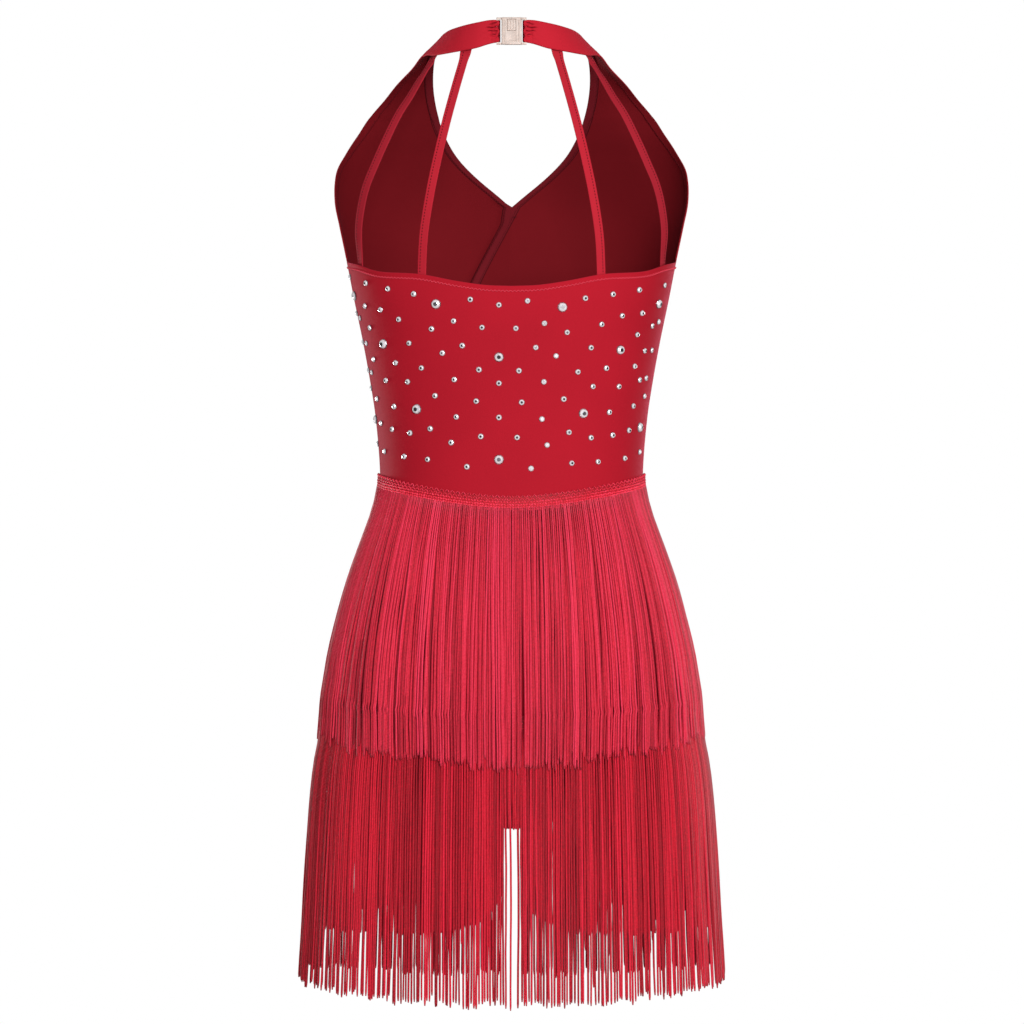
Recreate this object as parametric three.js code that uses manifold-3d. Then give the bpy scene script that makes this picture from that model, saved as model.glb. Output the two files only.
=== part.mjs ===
// A sleeveless halter bodysuit for Latin dance, worn, with no wearer inside.
// Millimetres, +Z up, the front facing -Y, the wearer's left at +X.
// Every cloth piece is a wall on one body form. Heights are below the nape of the neck, where the
// wearer holds the garment, and depths are from the plane through both sides of the body.
import * as THREE from "three";
import { mergeVertices } from "three/addons/utils/BufferGeometryUtils.js";
import Module from "manifold-3d";

// Driving dimensions
const NAPE_DEPTH = 58; // from the side plane back to the inner face of the clasp
const CLOTH = 1.2; // thickness of the stretch cloth with its turned hems
const SEAM_GAP = 0.3; // between pieces that are sewn together
const LONG_SEAM_GAP = 0.5; // along the side, waist and crotch seams
const NECK_POINT = -142; // height of the point of the V neck
const ARMHOLE_BOTTOM = -200;
const WAIST_AT_SIDE = -390; // top edge of the upper fringe at the side
const WAIST_DIP = 21; // how much lower that edge is at centre front and back
const SEAM_UNDER_HEADER = 6; // the waist seam lies this far under the fringe's top edge
const HIP_AT_SIDE = -591; // top edge of the lower fringe
const HIP_DIP = 11;
const LEG_TOP = -628; // height of the leg openings at the side
const CROTCH = -707;
const WRAP_END_ANGLE = 70; // where the crossing edge meets the waist, degrees from centre front
const WRAP_LAP = 6; // the under panel runs this far behind the crossing edge
const WRAP_SINK = 2.4; // and this far inside it
const WRAP_START = 15; // height over which the lap grows from the point of the V
const STRAP_WIDTH = 8;
const STRAP_THICK = 1.6;
const HEADER_HEIGHT = 12.5;
const HEADER_THICK = 1.6;
const UPPER_LENGTH = 224; // strand length below the header, measured down
const LOWER_LENGTH = 237;
const STRANDS = 84; // modelled locks in each tier
const LOCK_SHARE = 0.74; // a lock's share of its pitch
const BAND_THICK = 2.4;
const STONE = { radius: 4.2, table: 2.3, height: 2.4, sides: 8 };
const HEADER_LIFT = 0.6; // the headers stand this far off the cloth

// Cross sections of the body form, from the collarbone down to the leg openings.
// square is the exponent of the outline: 2 is an ellipse, and more is squarer.
const BODY = [
  { z: -50, halfWidth: 155.5, front: 63, back: 74, square: 2.2 },
  { z: -63, halfWidth: 158, front: 74, back: 77, square: 2.3 },
  { z: -81, halfWidth: 159, front: 86, back: 80, square: 2.3 },
  { z: -99, halfWidth: 160, front: 96, back: 83, square: 2.4 },
  { z: -120, halfWidth: 162, front: 103, back: 86, square: 2.5 },
  { z: -142, halfWidth: 161.2, front: 107, back: 88, square: 2.5 },
  { z: -165, halfWidth: 155.3, front: 108, back: 90, square: 2.5 },
  { z: -200, halfWidth: 147.2, front: 105, back: 91, square: 2.4 },
  { z: -234, halfWidth: 140.5, front: 99, back: 90, square: 2.4 },
  { z: -270, halfWidth: 133, front: 94, back: 88, square: 2.3 },
  { z: -306, halfWidth: 126.4, front: 90, back: 86, square: 2.3 },
  { z: -342, halfWidth: 121, front: 87.5, back: 84, square: 2.3 },
  { z: -392, halfWidth: 117.2, front: 86, back: 83, square: 2.3 },
  { z: -414, halfWidth: 119.1, front: 88, back: 86, square: 2.3 },
  { z: -450, halfWidth: 130.3, front: 94, back: 97, square: 2.3 },
  { z: -504, halfWidth: 149, front: 102, back: 112, square: 2.3 },
  { z: -540, halfWidth: 158, front: 105, back: 119, square: 2.3 },
  { z: -576, halfWidth: 163.5, front: 106, back: 122, square: 2.3 },
  { z: -612, halfWidth: 165.5, front: 105, back: 121, square: 2.3 },
  { z: -650, halfWidth: 165, front: 103, back: 116, square: 2.3 },
];

// The two soft rises that the cups' cut gives the front.
const CUPS = { rise: 15, z: -168, tall: 56, angle: 36, wide: 24 };

// Sections that the middle of each fringe follows as it swings clear of the hips.
const UPPER_FALL = [
  { z: -390, halfWidth: 119.6, front: 88.5, back: 86, square: 2.3 },
  { z: -414, halfWidth: 122.5, front: 91, back: 90, square: 2.3 },
  { z: -432, halfWidth: 127.8, front: 95, back: 96, square: 2.3 },
  { z: -450, halfWidth: 134.5, front: 99, back: 102.5, square: 2.3 },
  { z: -486, halfWidth: 147, front: 105, back: 112.5, square: 2.3 },
  { z: -522, halfWidth: 156.6, front: 109.5, back: 121.5, square: 2.3 },
  { z: -558, halfWidth: 164.6, front: 112, back: 127, square: 2.3 },
  { z: -594, halfWidth: 170.4, front: 113.5, back: 130, square: 2.3 },
  { z: -630, halfWidth: 175.6, front: 116, back: 132.5, square: 2.3 },
  { z: -665, halfWidth: 178.5, front: 118.5, back: 134.5, square: 2.3 },
];
const LOWER_FALL = [
  { z: -590, halfWidth: 166.8, front: 108.5, back: 124.5, square: 2.3 },
  { z: -616, halfWidth: 170.8, front: 109.5, back: 125.5, square: 2.3 },
  { z: -632, halfWidth: 173.4, front: 111.3, back: 127.2, square: 2.3 },
  { z: -650, halfWidth: 176.8, front: 113.5, back: 129, square: 2.3 },
  { z: -675, halfWidth: 179.7, front: 116, back: 130.5, square: 2.3 },
  { z: -700, halfWidth: 181.6, front: 118.5, back: 132, square: 2.3 },
  { z: -774, halfWidth: 186, front: 124, back: 135, square: 2.3 },
  { z: -870, halfWidth: 191.3, front: 129, back: 138, square: 2.3 },
];

// The halter from the clasp at the nape, over the shoulder, to the collarbone. Points of the wearer's
// left side: neck is the edge towards the head, arm the edge towards the shoulder.
const HALTER = [
  { neck: [9.8, 59.6, 9.6], arm: [9.8, 59.6, -9.6], crown: 0 },
  { neck: [18, 59.2, 9.9], arm: [18.5, 59.6, -11.2], crown: 0.3 },
  { neck: [30, 56.2, 8.2], arm: [32, 57.6, -15], crown: 0.5 },
  { neck: [45, 45.4, 6], arm: [50, 47.4, -17], crown: 0.5 },
  { neck: [57, 24, 4], arm: [68, 27, -17.5], crown: 0.6 },
  { neck: [63.4, -3, -0.4], arm: [80, -1, -15.2], crown: 0.4 },
  { neck: [69.5, -24, -14], arm: [90.4, -18, -25.4], crown: 1 },
  { neck: [71.5, -43, -30], arm: [105, -34, -38], crown: 1.8 },
  { neck: [70.5, -57, -46], arm: [116, -45, -50], crown: 2.4 },
];
const SHOULDER_SEAM = 5; // the row of HALTER where the band is sewn to the front

// Edges on the body form, as angles from centre front in degrees against height.
const NECK_EDGE = [
  { z: -63, angle: 43.8 },
  { z: -81, angle: 35.8 },
  { z: -99, angle: 26.7 },
  { z: -116, angle: 16.7 },
  { z: -134, angle: 5 },
  { z: NECK_POINT, angle: 0 },
];
const ARM_EDGE = [
  { z: -63, angle: 69 },
  { z: -81, angle: 71.2 },
  { z: -99, angle: 74.5 },
  { z: -115, angle: 78.5 },
  { z: -128, angle: 80 },
  { z: -142, angle: 81 },
  { z: -160, angle: 84 },
  { z: -180, angle: 87 },
  { z: ARMHOLE_BOTTOM, angle: 90 },
];
const BACK_EDGE = [
  { angle: 90, z: ARMHOLE_BOTTOM },
  { angle: 106, z: -205 },
  { angle: 118, z: -212.5 },
  { angle: 135, z: -216 },
  { angle: 150, z: -222 },
  { angle: 165, z: -226 },
  { angle: 180, z: -227 },
];

// The brief below the leg line: its middle and the leg opening's edge on the wearer's left.
const BRIEF_BACK = [
  { middle: [119.3, -628], leg: [165.4, 0, -628] },
  { middle: [116, -647], leg: [152, 58, -640] },
  { middle: [109, -668], leg: [122, 90, -656] },
  { middle: [92, -687], leg: [84, 98, -672] },
  { middle: [68, -699], leg: [54, 84, -686] },
  { middle: [44, -705], leg: [40, 56, -697] },
  { middle: [24, CROTCH], leg: [35, 26, -703] },
];
const BRIEF_FRONT = [
  { middle: [-104.2, -628], leg: [165.4, 0, -628] },
  { middle: [-101, -648], leg: [150, -55, -640] },
  { middle: [-92, -670], leg: [115, -82, -655] },
  { middle: [-75, -689], leg: [75, -86, -672] },
  { middle: [-54, -700], leg: [48, -70, -688] },
  { middle: [-36, -705], leg: [38, -44, -698] },
  { middle: [-22, CROTCH], leg: [35, -22, -703] },
];

// Middle lines of the straps on the wearer's left, between the band and the back. The ends are
// tucked behind both: band gives places on the halter, back the places on the back panel.
const INNER_STRAP = {
  band: [
    { station: 2.56, share: 0.7 },
    { station: 2.63, share: 0.96 },
  ],
  free: [
    [42.5, 52.6, -24.8],
    [48.7, 64, -48],
    [57, 77, -80.5],
    [65.4, 86, -117],
    [71.3, 88.5, -146],
    [76.9, 85.5, -182],
  ],
  back: { x: 79.4, heights: [-214, -226] },
};
const OUTER_STRAP = {
  band: [
    { station: 4.19, share: 0.72 },
    { station: 4.27, share: 0.96 },
  ],
  free: [
    [72.8, 16.5, -23.5],
    [80.9, 25.5, -37.5],
    [90.8, 36.5, -56],
    [100.2, 45.4, -72],
    [112, 54.3, -97.5],
    [120.4, 57.3, -117],
    [128.2, 56.8, -136],
    [133, 53.6, -155],
    [135.6, 48.2, -176],
  ],
  back: { x: 136.2, heights: [-203, -214] },
};
const STRAP_TUCK = 2.3; // from the back's inner face in to the strap's middle

// Large crystals on one half of the back, each given by its distance along the cloth from the chart's
// middle line and its height. The other half mirrors them. The line lies a little to the wearer's left
// of the centre, and the whole chart is turned a little. The front has the same chart.
const CHART_MIDDLE = 11;
const CHART_TILT = 0.027;
const LARGE_STONES = [
  { away: 55.6, z: -244 },
  { away: 0, z: -289.3 },
  { away: 110.4, z: -279 },
  { away: 74.8, z: -336.3 },
  { away: 0, z: -379.1 },
  { away: 156.3, z: -235.7 },
  { away: 141.1, z: -345.7 },
];

// Materials
const red = (hex, roughness) =>
  new THREE.MeshStandardMaterial({ color: hex, roughness, metalness: 0 });
const knit = red(0xb01c30, 0.55);
const bandKnit = red(0xb8203a, 0.5);
const tape = red(0xb82040, 0.65);
const rayon = red(0xc22345, 0.45);
const clearPlastic = new THREE.MeshStandardMaterial({
  color: 0xe9d5cb,
  roughness: 0.2,
  metalness: 0,
});
const crystal = new THREE.MeshStandardMaterial({
  color: 0xe6e9ee,
  roughness: 0.08,
  metalness: 0.9,
});

// Interpolation
const radians = THREE.MathUtils.degToRad;
const lerp = THREE.MathUtils.lerp;
const range = (count) => Array.from({ length: count }, (_, i) => i);
const steps = (count) => range(count + 1).map((i) => i / count);

// A smooth curve through a table's rows: the output column at a value of the input column.
function along(table, input, output, value) {
  const rising = table[table.length - 1][input] > table[0][input];
  const sign = rising ? 1 : -1;
  let i = table.findIndex((row) => sign * row[input] >= sign * value) - 1;
  if (i < 0) i = sign * value <= sign * table[0][input] ? 0 : table.length - 2;
  const slope = (a, b) =>
    (table[b][output] - table[a][output]) / (table[b][input] - table[a][input]);
  const before = slope(Math.max(i - 1, 0), Math.min(i + 1, table.length - 1));
  const after = slope(i, Math.min(i + 2, table.length - 1));
  const span = table[i + 1][input] - table[i][input];
  const t = THREE.MathUtils.clamp((value - table[i][input]) / span, 0, 1);
  const [t2, t3] = [t * t, t * t * t];
  return (
    (2 * t3 - 3 * t2 + 1) * table[i][output] +
    (t3 - 2 * t2 + t) * span * before +
    (3 * t2 - 2 * t3) * table[i + 1][output] +
    (t3 - t2) * span * after
  );
}

// Body form
// Angles are in radians from centre front, positive towards the wearer's left.
function sectionRadius(table, angle, z) {
  const n = along(table, "z", "square", z);
  const width = along(table, "z", "halfWidth", z);
  const depth = along(table, "z", Math.cos(angle) >= 0 ? "front" : "back", z);
  const across = Math.abs(Math.sin(angle) / width) ** n;
  return (across + Math.abs(Math.cos(angle) / depth) ** n) ** (-1 / n);
}

function cupRise(angle, z) {
  const turned = Math.acos(THREE.MathUtils.clamp(Math.cos(angle), -1, 1));
  const sideways = (turned - radians(CUPS.angle)) / radians(CUPS.wide);
  const upward = (z - CUPS.z) / CUPS.tall;
  return CUPS.rise * Math.exp(-(sideways ** 2) - upward ** 2);
}

function bodySkin(angle, z) {
  const r = sectionRadius(BODY, angle, z) + cupRise(angle, z);
  return new THREE.Vector3(r * Math.sin(angle), -r * Math.cos(angle), z);
}

function bodyNormal(angle, z) {
  const small = 0.01;
  const round = bodySkin(angle + small, z).sub(bodySkin(angle - small, z));
  const up = bodySkin(angle, z + 1).sub(bodySkin(angle, z - 1));
  return round.cross(up).normalize();
}

const bodyAt = (angle, z, offset) =>
  bodySkin(angle, z).addScaledVector(bodyNormal(angle, z), offset);

// A place on the form for a wall of cloth, with the way out from the wearer.
const bodySite = (angle, z) => ({ p: bodySkin(angle, z), n: bodyNormal(angle, z) });

// A distance along the cloth, in mm, as an angle.
const asAngle = (mm, angle, z) => mm / sectionRadius(BODY, angle, z);

const dipped = (side, dip, angle) => side - dip * Math.abs(Math.cos(angle)) ** 1.4;
const waistEdge = (angle) => dipped(WAIST_AT_SIDE, WAIST_DIP, angle);
const waistSeam = (angle) => waistEdge(angle) - SEAM_UNDER_HEADER;
const hipEdge = (angle) => dipped(HIP_AT_SIDE, HIP_DIP, angle);

// Solids
const wasm = await Module();
wasm.setup();

function geometryOf(points, triangles) {
  const geometry = new THREE.BufferGeometry().setFromPoints(points);
  const corner = (i) => points[i];
  const volume = triangles.reduce(
    (sum, [a, b, c]) => sum + corner(a).dot(corner(b).clone().cross(corner(c))),
    0,
  );
  const facing = volume < 0 ? triangles.map(([a, b, c]) => [a, c, b]) : triangles;
  geometry.setIndex(facing.flat());
  geometry.computeVertexNormals();
  return geometry;
}

const quad = (a, b, c, d) => [
  [a, b, c],
  [a, c, d],
];

// The closed solid between two grids of points, given as rows of equal length.
function solidBetween(inner, outer) {
  const rows = inner.length;
  const columns = inner[0].length;
  const inside = (i, j) => i * columns + j;
  const outside = (i, j) => rows * columns + i * columns + j;
  const triangles = [];
  for (let i = 0; i < rows - 1; i++) {
    for (let j = 0; j < columns - 1; j++) {
      triangles.push(
        ...quad(outside(i, j), outside(i + 1, j), outside(i + 1, j + 1), outside(i, j + 1)),
        ...quad(inside(i, j), inside(i, j + 1), inside(i + 1, j + 1), inside(i + 1, j)),
      );
    }
    const last = columns - 1;
    triangles.push(
      ...quad(inside(i, 0), inside(i + 1, 0), outside(i + 1, 0), outside(i, 0)),
      ...quad(outside(i, last), outside(i + 1, last), inside(i + 1, last), inside(i, last)),
    );
  }
  for (let j = 0; j < columns - 1; j++) {
    const last = rows - 1;
    triangles.push(
      ...quad(outside(0, j), outside(0, j + 1), inside(0, j + 1), inside(0, j)),
      ...quad(inside(last, j), inside(last, j + 1), outside(last, j + 1), outside(last, j)),
    );
  }
  return geometryOf([...inner.flat(), ...outer.flat()], triangles);
}

// The ways out of a grid of sites. A site off the body form takes its way out from its neighbours,
// on the side that facing (1 or -1) gives.
function waysOut(grid, facing) {
  const at = (i, j) =>
    grid[THREE.MathUtils.clamp(i, 0, grid.length - 1)][
      THREE.MathUtils.clamp(j, 0, grid[0].length - 1)
    ].p;
  return grid.map((row, i) =>
    row.map(({ n }, j) => {
      const down = at(i + 1, j).clone().sub(at(i - 1, j));
      const round = at(i, j + 1).clone().sub(at(i, j - 1));
      return n ?? down.cross(round).normalize().multiplyScalar(facing);
    }),
  );
}

// A wall of cloth on a grid of sites: from its inner face at depth(i, j) outwards.
function clothWall(grid, { facing = 1, thick = () => CLOTH, depth = () => 0 } = {}) {
  const ways = waysOut(grid, facing);
  const face = (offset) =>
    grid.map((row, i) =>
      row.map(({ p }, j) => p.clone().addScaledVector(ways[i][j], offset(i, j))),
    );
  return solidBetween(
    face(depth),
    face((i, j) => depth(i, j) + thick(i, j)),
  );
}

const mirrorSite = ({ p }) => ({ p: new THREE.Vector3(-p.x, p.y, p.z) });

// Halter rows
function halterStation(index) {
  if (index < HALTER.length) {
    const row = HALTER[index];
    return { ...row, neck: new THREE.Vector3(...row.neck), arm: new THREE.Vector3(...row.arm) };
  }
  const z = NECK_EDGE[Math.min(index - HALTER.length, 1)].z;
  return {
    neck: bodySkin(radians(along(NECK_EDGE, "z", "angle", z)), z),
    arm: bodySkin(radians(along(ARM_EDGE, "z", "angle", z)), z),
    crown: 3,
  };
}

const STATIONS = range(HALTER.length + 2).map(halterStation);
const neckCurve = new THREE.CatmullRomCurve3(STATIONS.map((s) => s.neck));
const armCurve = new THREE.CatmullRomCurve3(STATIONS.map((s) => s.arm));

// A row of points across the halter on the wearer's left, from the neck edge to the arm edge.
function halterRow(station, shares) {
  const t = station / (STATIONS.length - 1);
  const neck = neckCurve.getPoint(t);
  const arm = armCurve.getPoint(t);
  const forward = neckCurve.getTangent(t).add(armCurve.getTangent(t));
  const out = forward.cross(arm.clone().sub(neck)).normalize();
  const low = Math.floor(station);
  const high = Math.min(low + 1, STATIONS.length - 1);
  const crown = lerp(STATIONS[low].crown, STATIONS[high].crown, station - low);
  return shares.map((s) => ({
    p: neck.clone().lerp(arm, s).addScaledVector(out, crown * 4 * s * (1 - s)),
  }));
}

// Front panels
const FRONT_TOP_ROWS = [5, 5.5, 6, 6.5, 7, 7.5, 8, 8.5, 9];
const FRONT_HEIGHTS = [-75, -87, -99, -110, -120, -131, NECK_POINT, -153, -166, -180, -190];
const LOWER_SHARES = [0, 0.12, 0.24, 0.37, 0.5, 0.63, 0.75, 0.85, 0.93, 1];

const wrapAngle = (z) =>
  (radians(WRAP_END_ANGLE) * (NECK_POINT - z)) / (NECK_POINT - waistSeam(radians(WRAP_END_ANGLE)));

// Height of a row of the front at an angle: level down to the armhole, then easing to the waist seam.
const frontHeight = (row, angle) =>
  row.level ?? lerp(ARMHOLE_BOTTOM, waistSeam(angle), row.share);

const FRONT_ROWS = [
  ...FRONT_HEIGHTS.map((level) => ({ level })),
  ...LOWER_SHARES.map((share) => ({ share })),
];

// The angle and height where a row meets the crossing edge.
function crossing(row) {
  let angle = 0;
  range(6).forEach(() => {
    angle = wrapAngle(frontHeight(row, angle));
  });
  return angle;
}

function sideAngle(row) {
  const z = row.level ?? ARMHOLE_BOTTOM;
  const edge = z > ARMHOLE_BOTTOM ? radians(along(ARM_EDGE, "z", "angle", z)) : Math.PI / 2;
  return edge - (z > ARMHOLE_BOTTOM ? 0 : asAngle(LONG_SEAM_GAP / 2, edge, ARMHOLE_BOTTOM));
}

// The panel of the wearer's right, whose neck edge runs on across the front to the waist.
function frontRight() {
  const columns = steps(13);
  const top = FRONT_TOP_ROWS.map((station) => halterRow(station, columns).map(mirrorSite));
  const rest = FRONT_ROWS.map((row) => {
    const above = row.level > NECK_POINT;
    const edge = above
      ? -radians(along(NECK_EDGE, "z", "angle", row.level))
      : crossing(row) - asAngle(SEAM_GAP, 0, -250);
    return columns.map((s) => {
      const angle = lerp(edge, -sideAngle(row), s);
      return bodySite(angle, frontHeight(row, angle));
    });
  });
  return clothWall([...top, ...rest], { facing: -1 });
}

// The panel of the wearer's left, which dips behind the other at the point of the V.
function frontLeft() {
  const columns = 11;
  const top = FRONT_TOP_ROWS.map((station) => halterRow(station, steps(columns - 1)));
  const rest = FRONT_ROWS.map((row) => {
    const below = !(row.level >= NECK_POINT);
    const z = row.level ?? frontHeight(row, crossing(row));
    const edge = below ? crossing(row) : radians(along(NECK_EDGE, "z", "angle", row.level));
    const grown = THREE.MathUtils.clamp((NECK_POINT - z) / WRAP_START, 0.1, 1);
    const start = edge + asAngle(below ? -WRAP_LAP * grown : SEAM_GAP, edge, z);
    const first = [start, start + asAngle(WRAP_LAP, edge, z), start + asAngle(2 * WRAP_LAP, edge, z)];
    const rising = steps(columns - 3).slice(1).map((s) => lerp(first[2], sideAngle(row), s));
    return [...first, ...rising].map((angle) => bodySite(angle, frontHeight(row, angle)));
  });
  const point = FRONT_TOP_ROWS.length + FRONT_HEIGHTS.indexOf(NECK_POINT);
  const share = (i) => (i >= point ? 1 : i === point - 1 ? 0.6 : 0);
  const sunk = (i, j) => (j < 2 ? -WRAP_SINK * share(i) : 0);
  return clothWall([...top, ...rest], { depth: sunk });
}

// Back and brief
function backPanel() {
  const [from, to] = [90, 270].map(radians);
  const gap = asAngle(LONG_SEAM_GAP / 2, from, ARMHOLE_BOTTOM);
  const grid = LOWER_SHARES.map((v) =>
    steps(20).map((s) => {
      const angle = lerp(from + gap, to - gap, s);
      const turned = THREE.MathUtils.radToDeg(angle);
      const top = along(BACK_EDGE, "angle", "z", Math.min(turned, 360 - turned));
      return bodySite(angle, lerp(top, waistSeam(angle), v));
    }),
  );
  return clothWall(grid);
}

// The back (side 1) or front (side -1) of the brief, from the waist seam to the crotch seam.
const BRIEF_SHARES = [0, 0.05, 0.12, 0.24, 0.4, 0.6, 0.8];

function briefPanel(table, side) {
  const shares = steps(16).map((s) => 2 * s - 1);
  const quarter = Math.PI / 2 - asAngle(LONG_SEAM_GAP / 2, Math.PI / 2, LEG_TOP);
  const upper = BRIEF_SHARES.map((v) =>
    shares.map((s) => {
      const angle = side > 0 ? Math.PI - s * quarter : s * quarter;
      return bodySite(angle, lerp(waistSeam(angle) - LONG_SEAM_GAP, LEG_TOP, v));
    }),
  );
  const lower = table.map(({ middle: [depth, height], leg: [x, y, z] }) =>
    shares.map((s) => {
      const n = 2.3;
      const bend = 1 - Math.abs(y / depth) ** n;
      const reach = Math.abs(depth) * Math.max(1 - bend * Math.abs(s) ** n, 0) ** (1 / n);
      const out = side * Math.max(reach, LONG_SEAM_GAP / 2);
      return { p: new THREE.Vector3(x * s, out, lerp(height, z, s * s)) };
    }),
  );
  return clothWall([...upper, ...lower], { facing: -side });
}

function gusset() {
  const front = BRIEF_FRONT[BRIEF_FRONT.length - 1];
  const back = BRIEF_BACK[BRIEF_BACK.length - 1];
  const grid = steps(4).map((v) =>
    steps(6).map((share) => {
      const s = 2 * share - 1;
      const y = lerp(front.middle[0] + SEAM_GAP, back.middle[0] - SEAM_GAP, v);
      return { p: new THREE.Vector3(front.leg[0] * s, y, lerp(CROTCH, front.leg[2], s * s)) };
    }),
  );
  return clothWall(grid, { facing: -1 });
}

// Neckband
// The band is wider than the clasp, so its end is gathered into small pleats.
const GATHERS = { count: 4, deep: 0.7, reach: 1.6 };

function neckband(side) {
  const across = steps(8);
  const stations = [0, 0.3, 0.6, 0.9, 1.2, 1.6, 2, 2.5, 3, 3.5, 4, 4.5, SHOULDER_SEAM - 0.012];
  const grid = stations.map((station) => halterRow(station, across));
  const loop = (i) => Math.max(0, 1 - stations[i] / 0.9);
  const thick = (i) => BAND_THICK + 2.2 * Math.min(1, loop(i) * 1.6);
  const gathered = (i, j) => {
    const fade = Math.max(0, 1 - stations[i] / GATHERS.reach) * Math.min(1, stations[i] / 0.5);
    return GATHERS.deep * fade * Math.cos(2 * Math.PI * GATHERS.count * across[j]);
  };
  const depth = (i, j) => -thick(i) / 2 + (i ? gathered(i, j) / 2 : 0);
  const wall = clothWall(grid, { thick: (i, j) => thick(i) + gathered(i, j) / 2, depth });
  const whole = solidOf(side > 0 ? wall : mirrored(wall));
  return geometryFrom(whole.subtract(barRoom(side)));
}

function mirrored(geometry) {
  const made = geometry.clone().applyMatrix4(new THREE.Matrix4().makeScale(-1, 1, 1));
  const index = [...made.index.array];
  for (let i = 0; i < index.length; i += 3) {
    [index[i + 1], index[i + 2]] = [index[i + 2], index[i + 1]];
  }
  made.setIndex(index);
  made.computeVertexNormals();
  return made;
}

function solidOf(geometry) {
  const bare = geometry.clone();
  bare.deleteAttribute("normal");
  bare.deleteAttribute("uv");
  const merged = mergeVertices(bare, 1e-4);
  return new wasm.Manifold(
    new wasm.Mesh({
      numProp: 3,
      vertProperties: new Float32Array(merged.attributes.position.array),
      triVerts: new Uint32Array(merged.index.array),
    }),
  );
}

function geometryFrom(solid) {
  const { vertProperties, triVerts } = solid.getMesh();
  const geometry = new THREE.BufferGeometry();
  geometry.setAttribute("position", new THREE.BufferAttribute(vertProperties, 3));
  geometry.setIndex([...triVerts]);
  geometry.computeVertexNormals();
  return geometry;
}

// Clasp
// Two parts that hook together: a socket plate outside, and a hook plate behind it whose tongue
// comes through the socket's window. Each ends in a bar for the band to loop round.
const CLASP = {
  halfWidth: 8.5,
  halfHeight: 12,
  endFrame: 13.3, // from the middle out to the bar's far edge
  bar: 2,
  rail: 1.8,
  window: { halfWidth: 4, low: 0, high: 10.6 },
};
const CLASP_DEPTHS = {
  hook: [NAPE_DEPTH, NAPE_DEPTH + 1.3],
  frame: [NAPE_DEPTH + 0.8, NAPE_DEPTH + 2.4],
  socket: [NAPE_DEPTH + 1.6, NAPE_DEPTH + 3.8],
};

function block([x0, x1], [y0, y1], [z0, z1]) {
  const box = new THREE.BoxGeometry(x1 - x0, y1 - y0, z1 - z0);
  box.translate((x0 + x1) / 2, (y0 + y1) / 2, (z0 + z1) / 2);
  return solidOf(box);
}

function barRoom(side) {
  const { endFrame, bar, halfHeight } = CLASP;
  const [front, back] = CLASP_DEPTHS.frame;
  const xs = [endFrame - bar - SEAM_GAP, endFrame + SEAM_GAP];
  const across = side > 0 ? xs : [-xs[1], -xs[0]];
  return block(across, [front - SEAM_GAP, back + SEAM_GAP], [-halfHeight, halfHeight]);
}

// The slotted end that the band loops round, on one side of the clasp.
function endFrame(side, from) {
  const { endFrame: end, bar, rail, halfHeight, halfWidth } = CLASP;
  const ordered = (near, far) => (side > 0 ? [near, far] : [-far, -near]);
  const frame = block(ordered(from, end), CLASP_DEPTHS.frame, [-halfHeight, halfHeight]);
  const slot = block(
    ordered(halfWidth + SEAM_GAP, end - bar),
    [NAPE_DEPTH - 1, NAPE_DEPTH + 5],
    [rail - halfHeight, halfHeight - rail],
  );
  return { frame, slot };
}

function claspSocket() {
  const { halfWidth, halfHeight, window } = CLASP;
  const { frame, slot } = endFrame(1, halfWidth - 2);
  const plate = block([-halfWidth, halfWidth], CLASP_DEPTHS.socket, [-halfHeight, halfHeight]);
  const opening = block(
    [-window.halfWidth, window.halfWidth],
    [NAPE_DEPTH, NAPE_DEPTH + 5],
    [window.low, window.high],
  );
  return geometryFrom(plate.add(frame).subtract(slot).subtract(opening));
}

function claspHook() {
  const { halfWidth, halfHeight, window } = CLASP;
  const { frame, slot } = endFrame(-1, halfWidth + SEAM_GAP);
  const plate = block([-halfWidth - 0.7, 6.2], CLASP_DEPTHS.hook, [-halfHeight, halfHeight]);
  const tongue = block(
    [SEAM_GAP - window.halfWidth, window.halfWidth - SEAM_GAP],
    [NAPE_DEPTH + 1, NAPE_DEPTH + 3.4],
    [window.low + SEAM_GAP, window.high - SEAM_GAP],
  );
  return geometryFrom(plate.add(frame.subtract(slot)).add(tongue));
}

// Straps
// The middle line of a strap, with the way that its flat side faces at each point.
function strapLine({ band, free, back }) {
  const tucked = band.map(({ station, share }) => {
    const [before, here, after] = halterRow(station, [share - 0.02, share, share + 0.02]);
    const across = after.p.clone().sub(before.p);
    const onward = halterRow(station + 0.1, [share])[0].p.sub(here.p);
    const out = onward.cross(across).normalize();
    const depth = BAND_THICK / 2 + 2 * LONG_SEAM_GAP + STRAP_THICK / 2;
    return { p: here.p.clone().addScaledVector(out, -depth), out };
  });
  const hanging = free.map(([x, y, z]) => ({
    p: new THREE.Vector3(x, y, z),
    out: new THREE.Vector3(x / 150 ** 2, y / 80 ** 2, 0).normalize(),
  }));
  const held = back.heights.map((z) => {
    const angle = chartAngle(back.x, z, 1);
    return { p: bodyAt(angle, z, -STRAP_TUCK), out: bodyNormal(angle, z) };
  });
  return [...tucked, ...hanging, ...held];
}

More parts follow.
